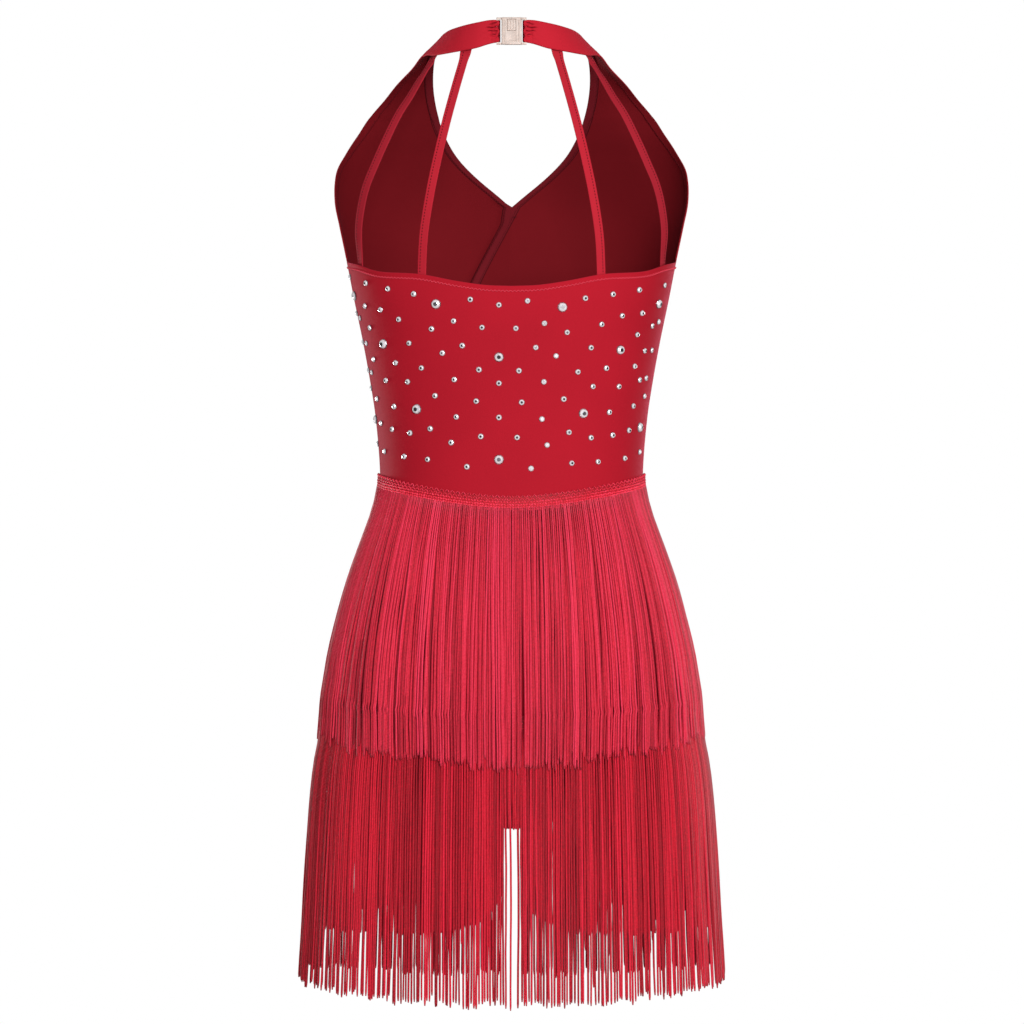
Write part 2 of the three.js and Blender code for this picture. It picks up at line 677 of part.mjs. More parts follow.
function strap(ends, side) {
  const line = strapLine(ends);
  const middle = new THREE.CatmullRomCurve3(line.map(({ p }) => p));
  const facing = new THREE.CatmullRomCurve3(line.map(({ out }) => out));
  const rings = steps(14).map((t) => {
    const p = middle.getPoint(t);
    const onward = middle.getTangent(t);
    const across = facing.getPoint(t).cross(onward).normalize();
    const out = onward.clone().cross(across).normalize();
    const corner = (u, v) =>
      p
        .clone()
        .addScaledVector(across, (u * STRAP_WIDTH) / 2)
        .addScaledVector(out, (v * STRAP_THICK) / 2);
    return { low: [corner(-1, -1), corner(1, -1)], high: [corner(-1, 1), corner(1, 1)] };
  });
  const strip = solidBetween(
    rings.map((ring) => ring.low),
    rings.map((ring) => ring.high),
  );
  return side > 0 ? strip : mirrored(strip);
}

// Fringe
// Angles that share a header's length into equal pitches, each cut into a lock and a gap.
function headerAngles(edge) {
  const fine = 720;
  const length = [0];
  range(fine).forEach((i) => {
    const [a, b] = [i, i + 1].map((k) => (2 * Math.PI * k) / fine);
    length.push(length[i] + bodySkin(a, edge(a)).distanceTo(bodySkin(b, edge(b))));
  });
  const angleAt = (distance) => {
    const i = Math.max(length.findIndex((value) => value > distance) - 1, 0);
    return (2 * Math.PI * (i + (distance - length[i]) / (length[i + 1] - length[i]))) / fine;
  };
  const pitch = length[fine] / STRANDS;
  return range(STRANDS).flatMap((i) => [angleAt(i * pitch), angleAt((i + LOCK_SHARE) * pitch)]);
}

// Slides a point straight outwards in plan until it lies on a fall's section at height z.
function slideOut(table, point, z) {
  const p = point.clone();
  range(4).forEach(() => {
    const angle = Math.atan2(p.x, -p.y);
    const r = sectionRadius(table, angle, z);
    const turn = 0.01;
    const polar = (a) => {
      const s = sectionRadius(table, a, z);
      return new THREE.Vector3(s * Math.sin(a), -s * Math.cos(a), z);
    };
    const round = polar(angle + turn).sub(polar(angle - turn)).normalize();
    const out = new THREE.Vector3(round.y, -round.x, 0);
    const target = new THREE.Vector3(r * Math.sin(angle), -r * Math.cos(angle), z);
    p.addScaledVector(out, target.sub(p.clone().setZ(z)).dot(out));
  });
  return p.setZ(z);
}

// Small deterministic unevenness between -1 and 1.
const uneven = (i) => Math.sin(12.9898 * (i + 1)) * Math.cos(4.137 * (i + 3));

function fringe(edge, fall, hanging, segments) {
  const angles = headerAngles(edge);
  const near = CLOTH + HEADER_LIFT;
  const far = near + HEADER_THICK;
  const points = [];
  const triangles = [];
  const add = (p) => points.push(p) - 1;
  const corners = angles.map((angle) => {
    const top = edge(angle);
    const low = top - HEADER_HEIGHT;
    return [
      [top, near],
      [top, far],
      [low, far],
      [low, near],
    ].map(([z, offset]) => add(bodyAt(angle, z, offset)));
  });
  corners.forEach((a, k) => {
    const b = corners[(k + 1) % corners.length];
    triangles.push(...quad(a[0], b[0], b[1], a[1]));
    triangles.push(...quad(a[1], b[1], b[2], a[2]));
    triangles.push(...quad(a[3], b[3], b[0], a[0]));
    if (k % 2) triangles.push(...quad(a[2], b[2], b[3], a[3]));
    else hang(a, b, k / 2);
  });

  // One lock, from its root in the header's lower face to its cut end.
  function hang(a, b, number) {
    const root = [a[2], b[2], b[3], a[3]];
    const middle = new THREE.Vector3();
    root.forEach((i) => middle.addScaledVector(points[i], 0.25));
    const width = points[a[2]].distanceTo(points[b[2]]);
    const length = hanging + 5 * uneven(number);
    let above = root;
    let p = middle.clone();
    range(segments).forEach((i) => {
      p = slideOut(fall, p, middle.z - (length * (i + 1)) / segments);
      const across = points[b[2]].clone().sub(points[a[2]]).setZ(0).normalize();
      const out = new THREE.Vector3(across.y, -across.x, 0);
      const below = [
        [-1, 1],
        [1, 1],
        [1, -1],
        [-1, -1],
      ].map(([u, v]) =>
        add(
          p
            .clone()
            .addScaledVector(across, (u * width) / 2)
            .addScaledVector(out, (v * HEADER_THICK) / 2),
        ),
      );
      range(4).forEach((side) => {
        const next = (side + 1) % 4;
        triangles.push(...quad(above[side], above[next], below[next], below[side]));
      });
      above = below;
    });
    triangles.push(...quad(above[0], above[1], above[2], above[3]));
  }
  return geometryOf(points, triangles);
}

// Crystals
// A flat-backed stone: a ring of facets up to a table.
function stone() {
  const profile = [
    [0, 0],
    [STONE.radius, 0],
    [STONE.table, STONE.height],
    [0, STONE.height],
  ].map(([r, h]) => new THREE.Vector2(r, h));
  return new THREE.LatheGeometry(profile, STONE.sides).rotateX(Math.PI / 2);
}

// The angle on the back (side 1) or front (side -1) of a place given sideways.
function chartAngle(x, z, side) {
  const width = along(BODY, "z", "halfWidth", z);
  const depth = along(BODY, "z", side > 0 ? "back" : "front", z);
  const n = along(BODY, "z", "square", z);
  const share = Math.min(Math.abs(x) / width, 0.995);
  return Math.atan2(x, -side * depth * (1 - share ** n) ** (1 / n));
}

// The angle of a place at a distance along the cloth from the chart's middle line, towards the
// wearer's left when it is positive.
function chartedAngle(distance, z, side) {
  const stride = 0.002 * Math.sign(distance) * side * -1;
  let angle = chartAngle(CHART_MIDDLE, z, side);
  let here = bodySkin(angle, z);
  let left = Math.abs(distance);
  while (left > 0) {
    const next = bodySkin(angle + stride, z);
    const length = next.distanceTo(here);
    angle += stride * Math.min(1, left / length);
    left -= length;
    here = next;
  }
  return angle;
}

// Sets a stone on the cloth, clear of the highest point that lies under it.
function placeStone(mesh, distance, z, side, walls) {
  const angle = chartedAngle(distance, z, side);
  const out = bodyNormal(angle, z);
  mesh.quaternion.setFromUnitVectors(new THREE.Vector3(0, 0, 1), out);
  const high = bodyAt(angle, z, 30);
  const rim = range(STONE.sides).map((i) => {
    const turn = (2 * Math.PI * i) / STONE.sides;
    return new THREE.Vector3(STONE.radius * Math.cos(turn), STONE.radius * Math.sin(turn), 0);
  });
  const drops = [new THREE.Vector3(), ...rim].map((spot) => {
    const from = spot.applyQuaternion(mesh.quaternion).add(high);
    const hits = new THREE.Raycaster(from, out.clone().negate()).intersectObjects(walls);
    return hits.length ? hits[0].distance : 30;
  });
  mesh.position.copy(high).addScaledVector(out, SEAM_GAP + 0.05 - Math.min(...drops));
}

// Assembly
const bodysuit = new THREE.Group();
bodysuit.position.set(0, -NAPE_DEPTH, 0);

function piece(name, geometry, material) {
  const mesh = new THREE.Mesh(geometry, material);
  mesh.name = name;
  bodysuit.add(mesh);
  return mesh;
}

const fronts = [
  piece("front_right", frontRight(), knit),
  piece("front_left", frontLeft(), knit),
];
const back = piece("back", backPanel(), knit);
piece("brief_back", briefPanel(BRIEF_BACK, 1), knit);
piece("brief_front", briefPanel(BRIEF_FRONT, -1), knit);
piece("gusset", gusset(), knit);
for (const [hand, side] of [["left", 1], ["right", -1]]) {
  piece(`neckband_${hand}`, neckband(side), bandKnit);
  piece(`strap_inner_${hand}`, strap(INNER_STRAP, side), bandKnit);
  piece(`strap_outer_${hand}`, strap(OUTER_STRAP, side), bandKnit);
}
piece("clasp_socket", claspSocket(), clearPlastic);
piece("clasp_hook", claspHook(), clearPlastic);
piece("fringe_upper", fringe(waistEdge, UPPER_FALL, UPPER_LENGTH, 4), rayon);
piece("fringe_lower", fringe(hipEdge, LOWER_FALL, LOWER_LENGTH, 3), rayon);

for (const [face, side, walls] of [["back", 1, [back]], ["front", -1, fronts]]) {
  let number = 0;
  for (const { away, z } of LARGE_STONES) {
    for (const hand of away ? [1, -1] : [1]) {
      number += 1;
      const mesh = piece(`crystal_${face}_${number}`, stone(), crystal);
      placeStone(mesh, hand * away, z + CHART_TILT * hand * away, side, walls);
    }
  }
}

export default bodysuit;
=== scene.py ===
import math

import bpy
import numpy as np
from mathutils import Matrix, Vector


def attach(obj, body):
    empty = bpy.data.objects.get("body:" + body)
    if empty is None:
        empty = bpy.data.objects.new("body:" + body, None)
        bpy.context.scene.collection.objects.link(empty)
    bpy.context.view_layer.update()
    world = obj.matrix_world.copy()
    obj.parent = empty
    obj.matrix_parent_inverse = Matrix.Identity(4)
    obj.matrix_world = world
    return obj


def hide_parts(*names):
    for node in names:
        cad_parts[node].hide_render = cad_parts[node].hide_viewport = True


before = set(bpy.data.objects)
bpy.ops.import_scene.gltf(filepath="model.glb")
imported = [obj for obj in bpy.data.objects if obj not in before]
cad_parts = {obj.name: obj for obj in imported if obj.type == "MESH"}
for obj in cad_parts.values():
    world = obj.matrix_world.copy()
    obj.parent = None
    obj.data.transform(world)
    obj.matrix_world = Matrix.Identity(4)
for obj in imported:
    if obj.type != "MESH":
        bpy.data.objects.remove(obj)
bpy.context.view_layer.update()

NAPE_DEPTH = 58.0
CLOTH = 1.2
WAIST_AT_SIDE, WAIST_DIP, SEAM_UNDER_HEADER = -390.0, 21.0, 6.0
HIP_AT_SIDE, HIP_DIP = -591.0, 11.0
NECK_POINT, ARMHOLE_BOTTOM = -142.0, -200.0
LEG_TOP, CROTCH = -628.0, -707.0
WRAP_END_ANGLE, WRAP_LAP, WRAP_SINK, WRAP_START = 70.0, 6.0, 2.4, 15.0
SEAM_GAP = 0.3
STRAP_WIDTH, STRAP_THICK, STRAP_TUCK = 8.0, 1.6, 2.3
BAND_THICK = 2.4
HEADER_HEIGHT, HEADER_THICK, HEADER_LIFT = 12.5, 1.6, 0.6
UPPER_LENGTH, LOWER_LENGTH = 224.0, 237.0
SHOULDER_SEAM = 5
CHART_MIDDLE, CHART_TILT = 11.0, 0.027

# Cross sections of the body: height, half width, depth in front and behind, squareness.
BODY = [
    (-50, 155.5, 63, 74, 2.2),
    (-63, 158, 74, 77, 2.3),
    (-81, 159, 86, 80, 2.3),
    (-99, 160, 96, 83, 2.4),
    (-120, 162, 103, 86, 2.5),
    (-142, 161.2, 107, 88, 2.5),
    (-165, 155.3, 108, 90, 2.5),
    (-200, 147.2, 105, 91, 2.4),
    (-234, 140.5, 99, 90, 2.4),
    (-270, 133, 94, 88, 2.3),
    (-306, 126.4, 90, 86, 2.3),
    (-342, 121, 87.5, 84, 2.3),
    (-392, 117.2, 86, 83, 2.3),
    (-414, 119.1, 88, 86, 2.3),
    (-450, 130.3, 94, 97, 2.3),
    (-504, 149, 102, 112, 2.3),
    (-540, 158, 105, 119, 2.3),
    (-576, 163.5, 106, 122, 2.3),
    (-612, 165.5, 105, 121, 2.3),
    (-650, 165, 103, 116, 2.3),
]
CUPS = {"rise": 15, "z": -168, "tall": 56, "angle": 36, "wide": 24}
UPPER_FALL = [
    (-390, 119.6, 88.5, 86, 2.3),
    (-414, 122.5, 91, 90, 2.3),
    (-432, 127.8, 95, 96, 2.3),
    (-450, 134.5, 99, 102.5, 2.3),
    (-486, 147, 105, 112.5, 2.3),
    (-522, 156.6, 109.5, 121.5, 2.3),
    (-558, 164.6, 112, 127, 2.3),
    (-594, 170.4, 113.5, 130, 2.3),
    (-630, 175.6, 116, 132.5, 2.3),
    (-665, 178.5, 118.5, 134.5, 2.3),
]
LOWER_FALL = [
    (-590, 166.8, 108.5, 124.5, 2.3),
    (-616, 170.8, 109.5, 125.5, 2.3),
    (-632, 173.4, 111.3, 127.2, 2.3),
    (-650, 176.8, 113.5, 129, 2.3),
    (-675, 179.7, 116, 130.5, 2.3),
    (-700, 181.6, 118.5, 132, 2.3),
    (-774, 186, 124, 135, 2.3),
    (-870, 191.3, 129, 138, 2.3),
]

# The halter on the wearer's left: its neck edge, its arm edge and how much it crowns between them.
HALTER = [
    ((9.8, 59.6, 9.6), (9.8, 59.6, -9.6), 0),
    ((18, 59.2, 9.9), (18.5, 59.6, -11.2), 0.3),
    ((30, 56.2, 8.2), (32, 57.6, -15), 0.5),
    ((45, 45.4, 6), (50, 47.4, -17), 0.5),
    ((57, 24, 4), (68, 27, -17.5), 0.6),
    ((63.4, -3, -0.4), (80, -1, -15.2), 0.4),
    ((69.5, -24, -14), (90.4, -18, -25.4), 1),
    ((71.5, -43, -30), (105, -34, -38), 1.8),
    ((70.5, -57, -46), (116, -45, -50), 2.4),
]
NECK_EDGE = [(-63, 43.8), (-81, 35.8), (-99, 26.7), (-116, 16.7), (-134, 5), (-142, 0)]
ARM_EDGE = [
    (-63, 69), (-81, 71.2), (-99, 74.5), (-115, 78.5), (-128, 80),
    (-142, 81), (-160, 84), (-180, 87), (-200, 90),
]
BACK_EDGE = [(90, -200), (106, -205), (118, -212.5), (135, -216), (150, -222), (165, -226), (180, -227)]

# The brief below its leg line: depth and height of its middle, then x, y and z of the leg's edge.
BRIEF_BACK = [
    (119.3, -628, 165.4, 0, -628),
    (116, -647, 152, 58, -640),
    (109, -668, 122, 90, -656),
    (92, -687, 84, 98, -672),
    (68, -699, 54, 84, -686),
    (44, -705, 40, 56, -697),
    (24, -707, 35, 26, -703),
]
BRIEF_FRONT = [
    (104.2, -628, 165.4, 0, -628),
    (101, -648, 150, 55, -640),
    (92, -670, 115, 82, -655),
    (75, -689, 75, 86, -672),
    (54, -700, 48, 70, -688),
    (36, -705, 38, 44, -698),
    (22, -707, 35, 22, -703),
]
# A strap: its ends in the band (station, share), its free points, and its end behind the back's edge.
INNER_STRAP = {
    "band": [(2.47, 0.7), (2.54, 0.96)],
    "free": [
        (42.5, 52.6, -24.8), (48.7, 64, -48), (57, 77, -80.5),
        (65.4, 86, -117), (71.3, 88.5, -146), (76.9, 85.5, -182),
    ],
    "x": 79.4,
    "heights": (-214, -226),
}
OUTER_STRAP = {
    "band": [(4.19, 0.72), (4.27, 0.96)],
    "free": [
        (72.8, 16.5, -23.5), (80.9, 25.5, -37.5), (90.8, 36.5, -56),
        (100.2, 45.4, -72), (112, 54.3, -97.5), (120.4, 57.3, -117),
        (128.2, 56.8, -136), (133, 53.6, -155), (135.6, 48.2, -176),
    ],
    "x": 136.2,
    "heights": (-203, -214),
}

# The crystals' chart for one half: distance over the cloth from the chart's middle line, and height.
# A stone is small unless its row says otherwise.
LARGE, SMALL = 4.5, 2.75
STONE_CHART = [
    (0, -243.7), (0, -289.3, LARGE), (0, -312.1), (0, -342.1), (0, -379.1, LARGE), (164, -218.7),
    (128.3, -225.4), (101.6, -230.8), (76, -235.4), (156.3, -235.7, LARGE), (25, -239.5),
    (55.6, -244, LARGE), (133.1, -245.4), (111.2, -249), (160, -251), (91.3, -257.5), (149, -255.5),
    (39.8, -258.6), (14.8, -263.7), (59.8, -265.8), (128.8, -264.5), (152.7, -276.7), (81.5, -278.4),
    (32.2, -280), (110.4, -279, LARGE), (140.4, -278), (50, -286.8), (127.4, -292.4), (96.4, -295.7),
    (146.7, -301.7), (17.5, -300.7), (69.6, -300.1), (135.5, -304), (39.3, -309.8), (109.7, -311.2),
    (83.6, -312.3), (146.2, -317.7), (56.9, -324.3), (19.9, -328.3), (128.2, -327.4), (100, -334.2),
    (74.8, -336.3, LARGE), (37.6, -342.5), (141.1, -345.7, LARGE), (123.2, -349.2), (61.6, -353.3),
    (103.8, -354.3), (82, -357.4), (15.9, -359.2), (42.2, -365.1), (143.1, -367.5), (118.5, -374.2),
    (89, -378.3), (64.2, -380.4), (28.1, -386.1),
]


# Interpolation
def along(xs, ys, at):
    """The smooth curve through a table's points, at one or many places."""
    if xs[0] > xs[-1]:
        xs, ys = xs[::-1], ys[::-1]
    slopes = np.empty_like(ys)
    slopes[1:-1] = (ys[2:] - ys[:-2]) / (xs[2:] - xs[:-2])
    slopes[0] = (ys[1] - ys[0]) / (xs[1] - xs[0])
    slopes[-1] = (ys[-1] - ys[-2]) / (xs[-1] - xs[-2])
    at = np.asarray(at, float)
    i = np.clip(np.searchsorted(xs, at) - 1, 0, len(xs) - 2)
    span = xs[i + 1] - xs[i]
    t = np.clip((at - xs[i]) / span, 0, 1)
    t2, t3 = t * t, t * t * t
    return (
        (2 * t3 - 3 * t2 + 1) * ys[i]
        + (t3 - 2 * t2 + t) * span * slopes[i]
        + (3 * t2 - 2 * t3) * ys[i + 1]
        + (t3 - t2) * span * slopes[i + 1]
    )


def edge_curve(table, at):
    return along(*np.array(table, float).T, at)


def section_values(table, z):
    """Half width, depth in front, depth behind and squareness of a table's form at heights z."""
    heights, *columns = np.array(table, float).T
    return [along(heights, values, z) for values in columns]


def spline(points, at):
    """A centripetal Catmull-Rom curve through points, at shares 0 to 1 of its spans."""
    points = np.asarray(points, float)
    padded = np.vstack([2 * points[0] - points[1], points, 2 * points[-1] - points[-2]])
    p = np.atleast_1d(at) * (len(points) - 1)
    i = np.clip(p.astype(int), 0, len(points) - 2)
    w = (p - i)[:, None]
    x0, x1, x2, x3 = (padded[i + k] for k in range(4))
    reach = lambda a, b: np.maximum(np.linalg.norm(b - a, axis=1, keepdims=True), 1e-8) ** 0.5
    d0, d1, d2 = reach(x0, x1), reach(x1, x2), reach(x2, x3)
    t1 = d1 * ((x1 - x0) / d0 - (x2 - x0) / (d0 + d1) + (x2 - x1) / d1)
    t2 = d1 * ((x2 - x1) / d1 - (x3 - x1) / (d1 + d2) + (x3 - x2) / d2)
    return (
        x1
        + t1 * w
        + (-3 * x1 + 3 * x2 - 2 * t1 - t2) * w**2
        + (2 * x1 - 2 * x2 + t1 + t2) * w**3
    )


def smooth(low, high, value):
    t = np.clip((np.asarray(value, float) - low) / (high - low), 0, 1)
    return t * t * (3 - 2 * t)


def unit(v):
    return v / np.maximum(np.linalg.norm(v, axis=-1, keepdims=True), 1e-9)


def lerp(a, b, t):
    return a + (b - a) * t


def run_along(path):
    """Distance along a path, or along each row of a grid, at every point."""
    steps = np.linalg.norm(np.diff(path, axis=-2), axis=-1)
    return np.concatenate([np.zeros(steps.shape[:-1] + (1,)), np.cumsum(steps, -1)], -1)


# Body form
# Angles are in radians from centre front, positive towards the wearer's left.
def section_radius(table, angle, z):
    width, front, back, n = section_values(table, z)
    depth = np.where(np.cos(angle) >= 0, front, back)
    return (np.abs(np.sin(angle) / width) ** n + np.abs(np.cos(angle) / depth) ** n) ** (-1 / n)


def cup_rise(angle, z):
    turned = np.arccos(np.clip(np.cos(angle), -1, 1))
    sideways = (turned - math.radians(CUPS["angle"])) / math.radians(CUPS["wide"])
    return CUPS["rise"] * np.exp(-(sideways**2) - ((z - CUPS["z"]) / CUPS["tall"]) ** 2)


def on_section(table, angle, z, rise=0.0):
    angle, z = np.broadcast_arrays(np.asarray(angle, float), np.asarray(z, float))
    r = section_radius(table, angle, z) + rise
    return np.stack([r * np.sin(angle), -r * np.cos(angle), z], -1)


def skin(angle, z):
    return on_section(BODY, angle, z, cup_rise(angle, z))


def skin_normal(angle, z):
    around = skin(angle + 0.01, z) - skin(angle - 0.01, z)
    up = skin(angle, z + 1) - skin(angle, z - 1)
    return unit(np.cross(around, up))


def skin_at(angle, z, offset):
    return skin(angle, z) + skin_normal(angle, z) * offset


def dipped(side, dip, angle):
    return side - dip * np.abs(np.cos(angle)) ** 1.4


def waist_edge(angle):
    return dipped(WAIST_AT_SIDE, WAIST_DIP, angle)


def waist_seam(angle):
    return waist_edge(angle) - SEAM_UNDER_HEADER


def hip_edge(angle):
    return dipped(HIP_AT_SIDE, HIP_DIP, angle)


def back_edge(angle):
    return edge_curve(BACK_EDGE, np.degrees(np.minimum(angle, 2 * math.pi - angle)))


def chart_angle(x, z, side):
    width, front, back, n = section_values(BODY, z)
    depth = back if side > 0 else front
    share = min(abs(x) / width, 0.995)
    return math.atan2(x, -side * depth * (1 - share**n) ** (1 / n))


def charted_angle(distance, z, side):
    """The angle at a distance along the cloth from the chart's middle line, towards +X if positive."""
    middle = chart_angle(CHART_MIDDLE, z, side)
    turn = -side * np.sign(distance) * np.linspace(0, 2.4, 1201)
    return middle + np.interp(abs(distance), run_along(skin(middle + turn, z)), turn)


# Halter rows
def halter_stations():
    """Neck edge, arm edge and crown of HALTER's rows, and of two more where it meets the body."""
    necks, arms, crowns = (list(each) for each in zip(*HALTER))
    for z in BODY_STATIONS:
        necks.append(skin(math.radians(edge_curve(NECK_EDGE, z)), z))
        arms.append(skin(math.radians(edge_curve(ARM_EDGE, z)), z))
        crowns.append(BODY_CROWN)
    return [np.array(each, float) for each in (necks, arms, crowns)]


BODY_STATIONS, BODY_CROWN = (-63.0, -81.0), 3
NECKS, ARMS, CROWNS = halter_stations()
LAST_STATION = len(NECKS) - 1


def halter(station, share):
    """Points across the halter at stations along it and shares of the way from neck to arm."""
    station, share = np.broadcast_arrays(np.asarray(station, float), np.asarray(share, float))
    flat, s = station.ravel(), share.ravel()[:, None]
    t, step = flat / LAST_STATION, 1e-3
    neck, arm = spline(NECKS, t), spline(ARMS, t)
    ahead, behind = (
        spline(NECKS, at) + spline(ARMS, at) for at in (np.minimum(t + step, 1), np.maximum(t - step, 0))
    )
    out = unit(np.cross(ahead - behind, arm - neck))
    crown = np.interp(flat, np.arange(len(CROWNS)), CROWNS)[:, None]
    points = neck + (arm - neck) * s + out * crown * 4 * s * (1 - s)
    return points.reshape(station.shape + (3,))


# Meshes
TUBE_SIDES = 5


def place(points):
    return (np.asarray(points, float).reshape(-1, 3) - (0, NAPE_DEPTH, 0)) / 1000


def new_piece(name, points, groups, materials, attributes=None):
    """A mesh object. groups are (faces, corner coordinates, material number) with equal-sided faces."""
    mesh = bpy.data.meshes.new(name)
    mesh.from_pydata(place(points), [], [face for faces, _, _ in groups for face in faces.tolist()])
    numbers = np.concatenate([np.full(len(faces), number) for faces, _, number in groups])
    mesh.polygons.foreach_set("material_index", numbers.astype(np.int32))
    coordinates = np.concatenate([uv.ravel() for _, uv, _ in groups])
    mesh.uv_layers.new(name="cloth").uv.foreach_set("vector", coordinates.astype(np.float32))
    for label, values in (attributes or {}).items():
        made = mesh.attributes.new(label, "FLOAT", "POINT" if len(values) == len(points) else "FACE")
        made.data.foreach_set("value", np.asarray(values, np.float32))
    for material in materials:
        mesh.materials.append(material)
    mesh.validate()
    mesh.shade_smooth()
    piece = bpy.data.objects.new(name, mesh)
    bpy.context.scene.collection.objects.link(piece)
    return piece


def dress(piece, slot, *nodes):
    """Puts a piece on the one body and hides the nodes that it stands for; slot, the piece's finish, is
    not used.
    """
    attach(piece, "root")
    if nodes:
        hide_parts(*nodes)
    return piece


def mirrored(grid, side):
    return grid if side > 0 else grid * (-1, 1, 1)


def grid_faces(rows, columns, around=False):
    i, j = np.meshgrid(np.arange(rows - 1), np.arange(columns if around else columns - 1), indexing="ij")
    i, j = i.ravel(), j.ravel()
    k = (j + 1) % columns
    return np.stack([i * columns + j, (i + 1) * columns + j, (i + 1) * columns + k, i * columns + k], 1)


def outward_normals(grid, middle):
    """The grid's normals, turned away from the upright line through a middle point."""
    normals = unit(np.cross(np.gradient(grid, axis=0), np.gradient(grid, axis=1)))
    away = (grid - middle) * (1, 1, 0)
    return normals * np.sign((normals * away).sum(-1).mean())


def turned_in(points, quads, ways):
    """Whether faces turn their backs to the ways given for them."""
    a, b, c = (points[quads[:, k]] for k in range(3))
    return (np.cross(b - a, c - a) * ways).sum() < 0


def fix_facing(piece):
    """Turns a closed mesh's faces outwards if its volume comes out negative."""
    mesh = piece.data
    mesh.calc_loop_triangles()
    total = 0.0
    for triangle in mesh.loop_triangles:
        a, b, c = (mesh.vertices[i].co for i in triangle.vertices)
        total += a.dot(b.cross(c))
    if total < 0:
        mesh.flip_normals()


def cloth_coordinates(grid):
    """Distances over the cloth in metres: across each row, and down the middle column."""
    u = run_along(grid)
    middle = u.shape[1] // 2
    u -= u[:, [middle]]
    v = -run_along(grid[:, middle])
    return np.stack([u, np.broadcast_to(v[:, None], u.shape)], -1) / 1000


def wall(name, grid, normals, thick, depth, materials, attributes):
    """A closed wall of cloth, outer face in material 0 and inner face and edges in material 1."""
    rows, columns = grid.shape[:2]
    count = rows * columns
    inner, outer = (
        (grid + normals * np.broadcast_to(offset, (rows, columns))[..., None]).reshape(-1, 3)
        for offset in (depth, depth + thick)
    )
    index = np.arange(count).reshape(rows, columns)
    ring = np.concatenate([index[0], index[1:, -1], index[-1, -2::-1], index[-2:0:-1, 0]])
    ahead = np.roll(ring, -1)
    rim = np.stack([ring, ahead, ahead + count, ring + count], 1)
    quads = grid_faces(rows, columns)
    if turned_in(outer, quads, normals.reshape(-1, 3)[quads[:, 0]]):
        quads, rim = quads[:, ::-1], rim[:, ::-1]
    uv = np.tile(cloth_coordinates(grid).reshape(-1, 2), (2, 1))
    sides = ((quads, 0), (quads[:, ::-1] + count, 1), (rim, 1))
    groups = [(faces, uv[faces], material) for faces, material in sides]
    doubled = {label: np.tile(np.ravel(values), 2) for label, values in attributes.items()}
    return new_piece(name, np.concatenate([outer, inner]), groups, materials, doubled)


def tubes(name, paths, across, out, radius, material, shade=None):
    """Many closed tubes at once. paths, across and out are (tubes, rings, 3), radius (tubes, rings)."""
    count, rings = paths.shape[:2]
    size = rings * TUBE_SIDES
    turn = 2 * math.pi * np.arange(TUBE_SIDES) / TUBE_SIDES
    shift = across[:, :, None] * np.cos(turn)[:, None] + out[:, :, None] * np.sin(turn)[:, None]
    points = (paths[:, :, None] + shift * radius[:, :, None, None]).reshape(-1, 3)
    one = grid_faces(rings, TUBE_SIDES, around=True)
    starts = size * np.arange(count)[:, None]
    quads = (one + starts[:, None]).reshape(-1, 4)
    ring, j = np.divmod(one[:, 0], TUBE_SIDES)
    uv = np.empty((count, len(one), 4, 2))
    uv[..., 0] = np.stack([j, j, j + 1, j + 1], 1) / TUBE_SIDES
    uv[..., 1] = run_along(paths)[:, np.stack([ring, ring + 1, ring + 1, ring], 1)] / 1000
    first = np.arange(TUBE_SIDES)
    caps = np.concatenate([first + starts, first[::-1] + size - TUBE_SIDES + starts])
    middle = np.repeat(paths[0], TUBE_SIDES, 0)
    if turned_in(points, one, (points[:size] - middle)[one[:, 0]]):
        quads, uv, caps = quads[:, ::-1], uv[:, :, ::-1], caps[:, ::-1]
    groups = [(quads, uv, 0), (caps, np.zeros(caps.shape + (2,)), 0)]
    attributes = None if shade is None else {"shade": np.repeat(shade, size)}
    return new_piece(name, points, groups, [material], attributes)


